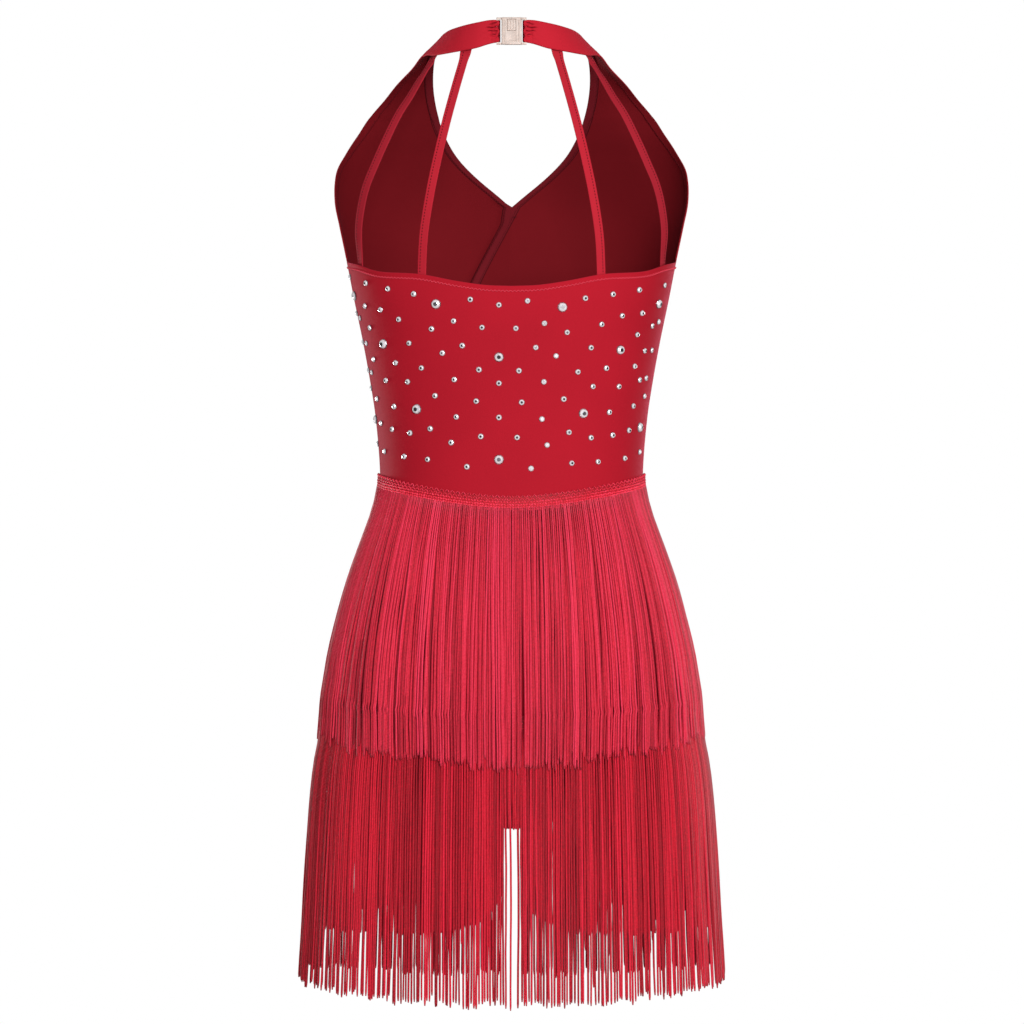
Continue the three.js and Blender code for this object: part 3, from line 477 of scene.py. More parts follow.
# Materials
class Nodes:
    """Small helper that adds and links shader nodes."""

    def __init__(self, name):
        self.material = bpy.data.materials.new(name)
        self.material.use_nodes = True
        self.tree = self.material.node_tree
        self.shader = self.tree.nodes["Principled BSDF"]

    def add(self, kind, settings=None, **inputs):
        node = self.tree.nodes.new("ShaderNode" + kind)
        for key, value in (settings or {}).items():
            setattr(node, key, value)
        for key, value in inputs.items():
            self.put(node, key.replace("_", " "), value)
        return node

    def put(self, node, socket, value):
        target = node.inputs[int(socket)] if socket.isdigit() else node.inputs[socket]
        if isinstance(value, bpy.types.NodeSocket):
            self.tree.links.new(value, target)
        else:
            target.default_value = value

    def math(self, operation, a, b=0.0):
        node = self.add("Math", {"operation": operation})
        self.put(node, "0", a)
        self.put(node, "1", b)
        return node.outputs[0]

    def ramp(self, factor, stops):
        node = self.add("ValToRGB", Fac=factor)
        elements = node.color_ramp.elements
        while len(elements) < len(stops):
            elements.new(0.5)
        for element, (position, colour) in zip(elements, stops):
            element.position = position
            element.color = (*colour, 1)
        return node.outputs["Color"]

    def mix(self, factor, a, b):
        node = self.add("Mix", {"data_type": "RGBA"})
        for socket, value in (("0", factor), ("6", a), ("7", (*b, 1))):
            self.put(node, socket, value)
        return node.outputs[2]

    def bump(self, height, distance):
        return self.add("Bump", Height=height, Distance=distance, Strength=1.0).outputs["Normal"]

    def noise(self, scale, detail):
        at = self.add("TexCoord").outputs["Object"]
        return self.add("TexNoise", Vector=at, Scale=scale, Detail=detail).outputs["Fac"]

    def attribute(self, name):
        return self.add("Attribute", {"attribute_name": name}).outputs["Fac"]

    def cloth(self):
        return self.add("UVMap", {"uv_map": "cloth"}).outputs["UV"]

    def wave(self, axis, period):
        """Bands across the cloth, one to a period in metres."""
        how = {"wave_type": "BANDS", "bands_direction": axis, "wave_profile": "SIN"}
        # At a scale of one, a band is a tenth of pi wide.
        scale = math.pi / 10 / period
        return self.add("TexWave", how, Vector=self.cloth(), Scale=scale, Distortion=0.4).outputs["Fac"]

    def total(self, *weighed):
        """The sum of values, each times its weight."""
        result, *others = (self.math("MULTIPLY", value, weight) for value, weight in weighed)
        for part in others:
            result = self.math("ADD", result, part)
        return result

    def finish(self, colour, **values):
        self.put(self.shader, "Base Color", colour)
        for key, value in values.items():
            self.put(self.shader, key.replace("_", " "), value)
        return self.material


def scaled(colour, by):
    return tuple(min(c * by, 1.0) for c in colour)


def tinted(colour, red, rest):
    return (min(colour[0] * red, 1.0), colour[1] * rest, colour[2] * rest)


HEM = 7.5
WALE, COURSE, KNIT_RELIEF = 0.0009, 0.0007, 0.00012
FINE_RELIEF = 0.0001


def knit(name, colour, sheen, roughness, hem=None, shaded_folds=False):
    """Fine warp knit: wales run down the cloth and courses across it. hem colours a turned edge, with a
    painted shadow line just past it, and a switch paints shade into the band's creases and folds.
    """
    nodes = Nodes(name)
    loops = nodes.math("MULTIPLY", nodes.wave("X", WALE), nodes.wave("Y", COURSE))
    soft, lint = nodes.noise(9.0, 3.0), nodes.noise(900.0, 2.0)
    tone = nodes.total((soft, 0.55), (lint, 0.25), (loops, 0.2))
    base = nodes.ramp(tone, [(0.25, scaled(colour, 0.86)), (0.75, scaled(colour, 1.12))])
    if hem:
        turned = nodes.attribute("from_edge")
        base = nodes.mix(nodes.math("LESS_THAN", turned, HEM), base, hem)
        # A dark line just past the turned hem is a painted shadow of the hem's step.
        away = nodes.math("ABSOLUTE", nodes.math("SUBTRACT", turned, HEM + 0.3))
        base = nodes.mix(nodes.math("LESS_THAN", away, 0.45), base, scaled(hem, 0.42))
    # Painted shade: the band darkens along its creases and where its loop turns in round the bar.
    if shaded_folds:
        base = nodes.mix(nodes.attribute("fold_shade"), base, scaled(colour, 0.2))
    return nodes.finish(
        base,
        Normal=nodes.bump(nodes.total((loops, 1.0), (lint, 0.6)), KNIT_RELIEF),
        Roughness=nodes.math("ADD", nodes.math("MULTIPLY", soft, 0.12), roughness - 0.06),
        Specular_IOR_Level=0.03,
        Sheen_Weight=sheen,
        Sheen_Roughness=0.3,
        Sheen_Tint=(1.0, 0.2, 0.3, 1),
    )


def yarn(name, colour, twist=0.0026, relief=0.0002):
    """Twisted rayon yarn with a tone of its own on each strand."""
    nodes = Nodes(name)
    parts = nodes.add("SeparateXYZ", Vector=nodes.cloth())
    turns = nodes.math("ADD", nodes.math("DIVIDE", parts.outputs["Y"], twist), parts.outputs["X"])
    ply = nodes.math("SINE", nodes.math("MULTIPLY", turns, 4 * math.pi))
    shade, fleck, slow = nodes.attribute("shade"), nodes.noise(620.0, 2.0), nodes.noise(14.0, 2.0)
    tone = nodes.total((shade, 0.55), (fleck, 0.6), (slow, 0.15), (ply, 0.06))
    # The ramp's pinker light end is a painted highlight on the strands.
    stops = [
        (0.15, tinted(colour, 0.5, 0.46)),
        (0.5, tinted(colour, 1.0, 0.95)),
        (0.85, tinted(colour, 1.3, 2.1)),
    ]
    return nodes.finish(
        nodes.ramp(nodes.math("SUBTRACT", tone, 0.15), stops),
        Normal=nodes.bump(ply, relief),
        Roughness=0.5,
        Sheen_Weight=0.2,
        Sheen_Roughness=0.35,
        Sheen_Tint=(1.0, 0.22, 0.32, 1),
        Specular_IOR_Level=0.35,
    )


def thread(name, colour):
    nodes = Nodes(name)
    fleck = nodes.noise(1500.0, 1.0)
    base = nodes.ramp(fleck, [(0.3, scaled(colour, 0.8)), (0.7, scaled(colour, 1.2))])
    return nodes.finish(
        base, Normal=nodes.bump(fleck, FINE_RELIEF), Roughness=0.6, Specular_IOR_Level=0.12
    )


def clear_plastic(name, colour):
    nodes = Nodes(name)
    cloud = nodes.noise(160.0, 3.0)
    return nodes.finish(
        nodes.ramp(cloud, [(0.35, scaled(colour, 0.92)), (0.65, scaled(colour, 1.05))]),
        Normal=nodes.bump(cloud, FINE_RELIEF),
        Roughness=nodes.math("ADD", nodes.math("MULTIPLY", cloud, 0.1), 0.4),
        Transmission_Weight=0.35,
        IOR=1.49,
        Coat_Weight=0.05,
        Coat_Roughness=0.3,
    )


def cut_crystal(name):
    """Facets with painted reflections: each face has its own tone, from near black to white."""
    nodes = Nodes(name)
    tone = nodes.total((nodes.attribute("shade"), 0.8), (nodes.noise(700.0, 1.0), 0.25))
    stops = [
        (0.1, (0.03, 0.025, 0.03)),
        (0.4, (0.36, 0.34, 0.38)),
        (0.6, (0.8, 0.8, 0.86)),
        (0.85, (0.97, 0.96, 0.97)),
    ]
    base = nodes.ramp(tone, stops)
    return nodes.finish(base, Metallic=0.4, Roughness=0.15, Coat_Weight=0.35, Coat_Roughness=0.03)


knit_face = knit("knit_face", (0.40, 0.0095, 0.021), 0.5, 0.7)
# The inside, its turned hem and the cut edges are the face's knit painted much darker, as painted shade
# inside the garment.
knit_inside_painted_shade = knit("knit_inside_painted_shade", (0.166, 0.0072, 0.0112), 0.03, 0.8, hem=(0.15, 0.0095, 0.015))
band_face = knit("band_face", (0.49, 0.015, 0.029), 0.1, 0.66, shaded_folds=True)
# The straps are the band's knit painted darker, as painted shade, the outer straps most.
inner_strap_painted_shade = knit("inner_strap_painted_shade", (0.43, 0.0165, 0.030), 0.1, 0.66)
outer_strap_painted_shade = knit("outer_strap_painted_shade", (0.345, 0.0157, 0.028), 0.1, 0.7)
# Both tiers are one yarn: the upper yarn's pinker colour is a painted sheen, which the lower yarn lacks.
upper_yarn_painted_sheen = yarn("upper_yarn_painted_sheen", (0.71, 0.0205, 0.051))
lower_yarn = yarn("lower_yarn", (0.71, 0.0105, 0.033))
tape_yarn = yarn("tape_yarn", (0.86, 0.026, 0.06), twist=0.0018, relief=0.00012)
# The tape's ground is painted darker than its loops, as painted shade under and between them.
tape_cloth_painted_shade = yarn("tape_cloth_painted_shade", (0.52, 0.009, 0.024), twist=0.0018, relief=0.00012)
red_thread = thread("red_thread", (0.74, 0.06, 0.10))
dark_thread = thread("dark_thread", (0.10, 0.004, 0.008))
clasp_plastic = clear_plastic("clasp_plastic", (0.72, 0.575, 0.505))
crystal = cut_crystal("crystal")


# Panels
# Each gives its grid, its normals, and how far each point is from a hemmed edge.
HEM_RIDGE, STITCH_DIMPLE = 0.6, 0.25
HEM_STEPS = np.array([0, 0.35, 1.0, 2.2, 3.8, HEM - 0.6, HEM - 0.2, HEM + 0.25, HEM + 2])
HEM_COLUMN = 5
BACK_HEM = 5.2
# A distance that is far from any hem.
UNHEMMED = 50.0
# A front's distance from the middle, which turns lengths round it into angles.
FRONT_RADIUS = 110.0
# Half of the gap at a side seam, as an angle.
SEAM_TURN = 0.002


def edge_shares(width, middle):
    """Shares across a strip that step closely over the hem at both edges."""
    near = HEM_STEPS * np.minimum(1.0, 0.45 * width / HEM_STEPS[-1])
    rest = np.linspace(near[-1], width - near[-1], middle + 2)[1:-1]
    return np.concatenate([near, rest, width - near[::-1]]) / width


def hem_ridge(distance):
    """How far the turned hem stands in from the cloth."""
    return HEM_RIDGE * (1 - smooth(HEM - 0.2, HEM + 0.25, distance))


def hem_thickness(distance):
    """Cloth with a turned hem: rounded at the edge and dimpled outside at its stitches."""
    rounded = smooth(-0.4, 0.9, distance)
    dimple = STITCH_DIMPLE * np.exp(-(((distance - HEM + 0.9) / 0.5) ** 2))
    return (CLOTH - 0.2 + hem_ridge(distance) - dimple) * (0.35 + 0.65 * rounded)


def wrap_angle(z):
    end = math.radians(WRAP_END_ANGLE)
    return end * (NECK_POINT - z) / (NECK_POINT - waist_seam(end))


def front_height(level, share, angle):
    """Level rows down to the armhole, then rows that ease to the waist seam."""
    return np.where(share < 0, level, lerp(ARMHOLE_BOTTOM, waist_seam(angle), np.maximum(share, 0)))


STATION_ROWS = np.arange(SHOULDER_SEAM, 9.01, 0.125)
LEVEL_ROWS = np.concatenate([np.arange(-66, -141, -3.0), [NECK_POINT], np.arange(-145, -199, -3.4)])
SHARE_ROWS = np.linspace(0, 1, 56)
ROW_LEVELS = np.concatenate([LEVEL_ROWS, np.full(len(SHARE_ROWS), ARMHOLE_BOTTOM)])
ROW_SHARES = np.concatenate([np.full(len(LEVEL_ROWS), -1.0), SHARE_ROWS])


def crossing():
    """Angle of the crossing edge on each body row."""
    angle = np.zeros(len(ROW_LEVELS))
    for _ in range(6):
        angle = wrap_angle(front_height(ROW_LEVELS, ROW_SHARES, angle))
    return angle


CROSSING = crossing()


def front_panel(side, middle):
    """A front panel and how far it sinks. Side 1 is the wearer's left, which goes under."""
    above = ROW_LEVELS > NECK_POINT
    neck = np.radians(edge_curve(NECK_EDGE, ROW_LEVELS))
    arm = np.radians(edge_curve(ARM_EDGE, np.maximum(ROW_LEVELS, ARMHOLE_BOTTOM)))
    if side > 0:
        fallen = NECK_POINT - front_height(ROW_LEVELS, ROW_SHARES, CROSSING)
        lap = WRAP_LAP / FRONT_RADIUS * np.clip(fallen / WRAP_START, 0.1, 1)
        first, last = np.where(above, neck + SEAM_GAP / FRONT_RADIUS, CROSSING - lap), arm
    else:
        first, last = np.where(above, -neck, CROSSING), -arm
    grid, distance = [], []
    for station in STATION_ROWS:
        width = np.linalg.norm(np.diff(halter(station, [0.0, 1.0]), axis=0))
        shares = edge_shares(width, middle)
        grid.append(mirrored(halter(station, shares), side))
        distance.append(np.minimum(shares, 1 - shares) * width)
    for level, share, start, end in zip(ROW_LEVELS, ROW_SHARES, first, last):
        coarse = np.linspace(start, end, 60)
        length = run_along(skin(coarse, front_height(level, share, coarse)))[-1]
        shares = edge_shares(length, middle)
        angle = lerp(start, end, shares)
        grid.append(skin(angle, front_height(level, share, angle)))
        # Below the armhole the outer end is sewn to the back, so only the first is an edge.
        distance.append((shares if share >= 0 else np.minimum(shares, 1 - shares)) * length)
    grid, distance = np.array(grid), np.array(distance)
    sunk = np.zeros(distance.shape)
    if side > 0:
        rows = np.arange(len(grid))[:, None] - (len(STATION_ROWS) + np.flatnonzero(~above)[0])
        under = 1 - smooth(WRAP_LAP - 1, WRAP_LAP + 6, run_along(grid))
        sunk = -WRAP_SINK * smooth(-4, 0.5, rows) * under
    return grid, outward_normals(grid, (0, -30, 0)), distance, sunk


def cloth_piece(node, grid, normals, distance, sunk=0.0):
    # Inside the fronts the turned hem shows along the neck and the crossing edge.
    from_edge = run_along(grid) if node.startswith("front") else distance
    depth = sunk - hem_ridge(distance)
    faces = [knit_face, knit_inside_painted_shade]
    thick = hem_thickness(distance)
    piece = wall(node + "_cloth", grid, normals, thick, depth, faces, {"from_edge": from_edge})
    return dress(piece, "knit", node)


def back_panel():
    angles = np.linspace(math.pi / 2 + SEAM_TURN, 3 * math.pi / 2 - SEAM_TURN, 121)
    top = back_edge(angles)
    hemmed = top - HEM_STEPS[:, None] * BACK_HEM / HEM
    rest = lerp(hemmed[-1], waist_seam(angles), np.linspace(0, 1, 56)[1:, None])
    z = np.concatenate([hemmed, rest])
    return skin(angles, z), skin_normal(angles, z), (top - z) * HEM / BACK_HEM


def distance_from_sides(grid):
    """Distance over the cloth from the nearer end of each row."""
    return np.minimum(run_along(grid), run_along(grid[:, ::-1])[:, ::-1])


def brief_panel(table, side):
    shares = np.concatenate([[-1, -0.995, -0.985], np.linspace(-0.965, 0.965, 75), [0.985, 0.995, 1]])
    quarter = math.pi / 2 - SEAM_TURN
    angle = math.pi - shares * quarter if side > 0 else shares * quarter
    levels = lerp(waist_seam(angle) - 0.5, LEG_TOP, np.linspace(0, 1, 44)[:-1, None])
    spans = np.linspace(0, 1, 40)
    middles = spline([row[:3] for row in table], spans)
    edges = spline([row[2:] for row in table], spans)
    square = 2.3
    below = []
    for (depth, height, _), (x, y, z) in zip(middles, edges):
        bend = 1 - min(max(y, 0) / depth, 1) ** square
        reach = depth * np.maximum(1 - bend * np.abs(shares) ** square, 0) ** (1 / square)
        y = side * np.maximum(reach, SEAM_GAP)
        below.append(np.stack([x * shares, y, lerp(height, z, shares**2)], 1))
    grid = np.concatenate([skin(angle, levels), np.array(below)])
    # The body's own normals ease into the grid's above the leg line.
    made = outward_normals(grid, (0, 0, 0))
    ways = np.concatenate([skin_normal(angle, levels), made[len(levels) :]])
    rows = np.arange(len(grid))[:, None]
    ways = unit(lerp(ways, made, smooth(38, 43, rows)[..., None]))
    return grid, ways, np.where(rows >= len(levels), distance_from_sides(grid), UNHEMMED)


def gusset_panel():
    front, back = BRIEF_FRONT[-1], BRIEF_BACK[-1]
    s = np.concatenate([[-1, -0.97, -0.9], np.linspace(-0.82, 0.82, 17), [0.9, 0.97, 1]])
    y = lerp(SEAM_GAP - front[0], back[0] - SEAM_GAP, np.linspace(0, 1, 15)[:, None])
    grid = np.stack(np.broadcast_arrays(front[2] * s, y, lerp(CROTCH, front[4], s**2)), -1)
    normals = np.broadcast_to(np.array([0, 0, -1.0]), grid.shape)
    return grid, normals, distance_from_sides(grid)


panels = {
    label: cloth_piece(label, *made)
    for label, made in (
        ("front_right", front_panel(-1, 64)),
        ("front_left", front_panel(1, 44)),
        ("back", back_panel()),
        ("brief_back", brief_panel(BRIEF_BACK, 1)),
        ("brief_front", brief_panel(BRIEF_FRONT, -1)),
        ("gusset", gusset_panel()),
    )
}


# Neckband
GATHERS, GATHER_DEPTH, GATHERS_END = 5, 0.75, 1.9
# The row of stitches across the gathers: its station, width, depth and stitches.
SEWN_AT, SEWN_WIDTH, SEWN_DEPTH, SEWN_STITCHES = 0.95, 0.09, 0.8, 9
# The loop round the clasp's bar is thicker than the band, up to a station.
LOOP_EXTRA, LOOP_END = 2.2, 0.75
CREASE_WIDTH, CREASE_DEPTH = 0.02, 0.8
# Sharp creases beside the clasp: share across the band, and the stations that each runs between.
CREASES = ((0.15, 0.45, 1.15), (0.31, 0.4, 1.35), (0.47, 0.35, 1.2), (0.64, 0.5, 0.95))


def rounded_edge(share, over):
    """Thickness that falls away over a rounded edge, as a share of the whole."""
    return np.sqrt(np.clip(1 - (1 - np.clip(share / over, 0, 1)) ** 2, 0.06, 1))


def neckband(side, name):
    near, far = np.arange(0.16, 1.6, 0.045), np.arange(1.6, SHOULDER_SEAM - 0.03, 0.09)
    stations = np.concatenate([[0, 0.02, 0.05, 0.1], near, far, [SHOULDER_SEAM - 0.015]])
    inner, outer = [0, 0.02, 0.06], [0.79, 0.83, 0.88, 0.94, 0.98, 1]
    shares = np.concatenate([inner, np.linspace(0.09, 0.75, 56), outer])
    s, t = np.meshgrid(stations, shares, indexing="ij")
    turn = 2 * math.pi * t
    grid = mirrored(halter(s, t), side)
    # The gathers fade away from the clasp, and a row of stitches pulls them in.
    fade = np.clip(1 - s / GATHERS_END, 0, 1) ** 1.3 * np.clip(s / 0.35, 0.25, 1)
    drift = 0.7 * math.pi * np.sin(5.0 * s + 2.0 * t)
    pleats = np.cos(GATHERS * turn + drift) + 0.45 * np.cos(8.3 * turn + 0.8 * math.pi - 3 * s)
    row = np.exp(-(((s - SEWN_AT) / SEWN_WIDTH) ** 2))
    sewn = SEWN_DEPTH * row * (0.6 + 0.4 * np.cos(SEWN_STITCHES * turn))
    crease = np.zeros(s.shape)
    for at, first, last in CREASES:
        bent = t - at - 0.025 * np.sin(6 * s + 9 * at)
        runs = smooth(first - 0.12, first + 0.08, s) * (1 - smooth(last - 0.2, last + 0.15, s))
        crease = np.maximum(crease, np.exp(-((bent / CREASE_WIDTH) ** 2)) * runs)
    lift = GATHER_DEPTH * fade * pleats - sewn - CREASE_DEPTH * crease
    turned_in = 0.24 + 0.1 * np.cos(2.6 * turn + 0.8)
    # Painted shade along the creases and where the loop turns in round the bar.
    fold_shade = np.maximum(0.85 * crease, 1 - smooth(0.6 * turned_in, turned_in, s))
    thick = BAND_THICK + LOOP_EXTRA * np.minimum(1, 1.5 * np.clip(1 - s / LOOP_END, 0, 1))
    roll = rounded_edge(np.minimum(t, 1 - t), 0.07)
    full = thick * roll * rounded_edge(s, 0.16)
    depth = -full / 2 + lift * 0.2
    thick = full + lift * 0.8 * roll
    normals = outward_normals(grid, (0, 0, 0))
    return wall(name + "_cloth", grid, normals, thick, depth, [band_face, band_face], {"fold_shade": fold_shade})


# Straps
# Between the band and a strap's tucked end, and the oval that the straps' free stretches face out from.
STRAP_CLEARANCE = 1.0
OVAL_WIDTH, OVAL_DEPTH = 150, 80


def strap_line(strap, count):
    """Middle line of a strap on the wearer's left, with the way that its flat side faces."""
    points, ways = [], []
    for station, share in strap["band"]:
        before, here, after = halter(station, [share - 0.02, share, share + 0.02])
        onward = halter([station + 0.1], share)[0] - here
        out = unit(np.cross(onward, after - before))
        points.append(here - out * (BAND_THICK / 2 + STRAP_CLEARANCE + STRAP_THICK / 2))
        ways.append(out)
    for x, y, z in strap["free"]:
        points.append(np.array([x, y, z], float))
        ways.append(unit(np.array([x / OVAL_WIDTH**2, y / OVAL_DEPTH**2, 0])))
    for z in strap["heights"]:
        angle = chart_angle(strap["x"], z, 1)
        points.append(skin_at(angle, z, -STRAP_TUCK))
        ways.append(skin_normal(angle, z))
    t = np.linspace(0, 1, count)
    line = spline(points, t)
    tangent = unit(np.gradient(line, axis=0))
    across = unit(np.cross(spline(ways, t), tangent))
    return line, across, unit(np.cross(tangent, across))


# The inner straps flare where they leave the band, and every strap has a groove by each edge.
FLARE, FLARE_AT, FLARE_LENGTH = 0.35, 8.0, 5.0
GROOVE_DEPTH, GROOVE_IN, GROOVE_WIDTH = 0.22, 1.6, 0.5


def strap_piece(strap, side, name, material):
    line, across, out = strap_line(strap, 110)
    turn = np.linspace(0, 2 * math.pi, 20, endpoint=False)
    bulge = lambda c, power: np.sign(c) * np.abs(c) ** power
    u = bulge(np.cos(turn), 0.45) * STRAP_WIDTH / 2
    v = bulge(np.sin(turn), 0.6) * STRAP_THICK / 2
    inwards = (np.abs(u) - STRAP_WIDTH / 2 + GROOVE_IN) / GROOVE_WIDTH
    v = v - GROOVE_DEPTH * np.exp(-(inwards**2)) * np.sign(v)
    run = run_along(line)
    past = np.maximum(run - FLARE_AT, 0) / FLARE_LENGTH
    flare = FLARE * np.exp(-(past**2)) * (strap is INNER_STRAP)
    sideways = across[:, None] * (u * (1 + flare)[:, None])[..., None]
    rings = mirrored(line[:, None] + sideways + out[:, None] * v[:, None], side)
    rows, sides = rings.shape[:2]
    quads = grid_faces(rows, sides, around=True)
    ends = np.array([np.arange(sides), np.arange(sides)[::-1] + (rows - 1) * sides])
    if side < 0:
        quads = quads[:, ::-1]
    else:
        ends = ends[:, ::-1]
    uv = np.stack(np.broadcast_arrays(u, run[:, None]), -1).reshape(-1, 2) / 1000
    groups = [(quads, uv[quads], 0), (ends, uv[ends], 0)]
    piece = new_piece(name + "_cloth", rings.reshape(-1, 3), groups, [material])
    fix_facing(piece)
    dress(piece, "band_knit", name)


for hand, side in (("left", 1), ("right", -1)):
    band = neckband(side, f"neckband_{hand}")
    fix_facing(band)
    dress(band, "band_knit", f"neckband_{hand}")
    strap_piece(INNER_STRAP, side, f"strap_inner_{hand}", inner_strap_painted_shade)
    strap_piece(OUTER_STRAP, side, f"strap_outer_{hand}", outer_strap_painted_shade)


# Clasp
ROUNDING = 0.35


def bake(obj):
    """Applies an object's modifiers to its mesh."""
    bpy.context.view_layer.update()
    made = bpy.data.meshes.new_from_object(obj.evaluated_get(bpy.context.evaluated_depsgraph_get()))
    obj.modifiers.clear()
    obj.data = made


def bevelled(obj, name):
    bevel = obj.modifiers.new("round", "BEVEL")
    bevel.width = ROUNDING / 1000
    bevel.segments = 2
    bevel.limit_method = "ANGLE"
    bake(obj)
    obj.name = obj.data.name = name
    obj.data.shade_smooth()
    obj.data.set_sharp_from_angle(angle=math.radians(40))
    return obj


def box_mesh(xs, ys, zs):
    corners = [(x, y, z) for x in xs for y in ys for z in zs]
    faces = [(0, 1, 3, 2), (4, 6, 7, 5), (0, 4, 5, 1), (2, 3, 7, 6), (0, 2, 6, 4), (1, 5, 7, 3)]
    mesh = bpy.data.meshes.new("block")
    mesh.from_pydata([tuple(p) for p in place(corners)], [], faces)
    obj = bpy.data.objects.new("block", mesh)
    bpy.context.scene.collection.objects.link(obj)
    return obj


def boolean(base, operation, *others):
    for other in others:
        step = base.modifiers.new("cut", "BOOLEAN")
        step.operation = operation
        step.object = other
        step.solver = "EXACT"
        bake(base)
        bpy.data.objects.remove(other)


# Half width of the plates, half height, half width over all, the end bars and the rails of the frames.
HALF, TALL, END, BAR, RAIL = 8.5, 12.0, 13.3, 2.0, 1.8
# How far behind the side seams each layer starts and ends, and a depth past them all, for cutting.
HOOK, FRAME, SOCKET = (58, 59.3), (58.8, 60.4), (59.6, 61.8)
PAST = 64
WINDOW = (-4, 4, 0, 10.6)
TONGUE = ((-3.7, 3.7), (59, 61.4), (0.3, 10.3))
# Half widths and places of the socket's side grooves and of the grooves in the tongue.
SIDE_GROOVE, SIDE_GROOVES_AT = 0.35, (-6.1, 6.1)
TONGUE_GROOVE, TONGUE_GROOVES_AT = 0.3, (-1.3, 1.3)


def end_frame(side, start):
    order = lambda a, b: (a, b) if side > 0 else (-b, -a)
    ring = box_mesh(order(start, END), FRAME, (-TALL, TALL))
    slot = box_mesh(order(HALF + 0.3, END - BAR), (56, PAST), (RAIL - TALL, TALL - RAIL))
    return ring, slot


def groove(x, half, floor, heights):
    return box_mesh((x - half, x + half), (floor, PAST), heights)


def socket():
    plate = box_mesh((-HALF, HALF), SOCKET, (-TALL, TALL))
    ring, slot = end_frame(1, HALF - 2)
    boolean(plate, "UNION", ring)
    window = box_mesh(WINDOW[:2], (57, PAST), WINDOW[2:])
    grooves = [groove(x, SIDE_GROOVE, 61.35, (-9.5, 9.5)) for x in SIDE_GROOVES_AT]
    lower_groove = box_mesh((-4.6, 4.6), (61.4, PAST), (-9.4, -8.7))
    boolean(plate, "DIFFERENCE", slot, window, *grooves, lower_groove)
    return plate


def hook():
    plate = box_mesh((-HALF - 0.7, 6.2), HOOK, (-TALL, TALL))
    ring, slot = end_frame(-1, HALF + 0.3)
    boolean(ring, "DIFFERENCE", slot)
    boolean(plate, "UNION", ring, box_mesh(*TONGUE))
    boolean(plate, "DIFFERENCE", *(groove(x, TONGUE_GROOVE, 60.9, (1.5, 9.2)) for x in TONGUE_GROOVES_AT))
    return plate


for name, build in (("clasp_socket", socket), ("clasp_hook", hook)):
    part = bevelled(build(), name + "_moulding")
    part.data.materials.clear()
    part.data.materials.append(clasp_plastic)
    dress(part, "clasp", name)


# Fringe
def resample(path, run, at):
    return np.stack([np.interp(at, run, path[:, i]) for i in range(3)], 1)


def stitch_line(path, ways, side_ways, pitch=2.6, length=2.0, zigzag=0.0, lift=0.15):
    """Paths of the stitches along a line: each is a short arc of thread between two holes."""
    run = run_along(path)
    count = int(run[-1] / pitch)
    starts = (np.arange(count) + 0.5) * run[-1] / count - length / 2
    steps = np.array([0, 0.25, 0.75, 1.0])
    at = (starts[:, None] + steps * length).ravel()
    points = resample(path, run, at).reshape(count, 4, 3)
    out = unit(resample(ways, run, at)).reshape(count, 4, 3)
    across = unit(resample(side_ways, run, at)).reshape(count, 4, 3)
    swing = zigzag * np.where(np.arange(count) % 2, 1, -1)[:, None] * (2 * steps - 1)
    rise = lift * np.array([-1.2, 0.6, 0.6, -1.2])
    return points + out * rise[:, None] + across * swing[..., None], across, out


def ways_along(path, out):
    return unit(np.cross(out, np.gradient(path, axis=0)))


def thread_radius(radius, ends, path):
    """A stitch's radius at its four rings, thinner at its ends."""
    return np.broadcast_to(radius * np.array([ends, 1, 1, ends]), path.shape[:2])


RINGS = 18
# A fringe's usual distance from the middle, which turns a pitch in angle into millimetres.
FRINGE_RADIUS = 130
# How far strands' roots go up behind the tape's edge, and how far locks and strands differ in length.
ROOT_OVERLAP, LOCK_JAG, STRAND_JAG = 1.5, 2.2, 3.0
# How proud strands stand over a tape, how far they part at the middle, and how thin a strand's end is.
RIDGE_RISE, MIDDLE_PARTING, END_TAPER = 0.9, 0.5, 0.6


def even_angles(edge, count, jitter, rng):
    """Angles of count roots at an even pitch along a header, each moved by a share of the pitch."""
    fine = np.linspace(0, 2 * math.pi, 1441)
    run = run_along(skin(fine, edge(fine)))
    place_on = (np.arange(count) + 0.5 + jitter * rng.uniform(-0.5, 0.5, count)) * run[-1] / count
    return np.interp(place_on, run, fine)


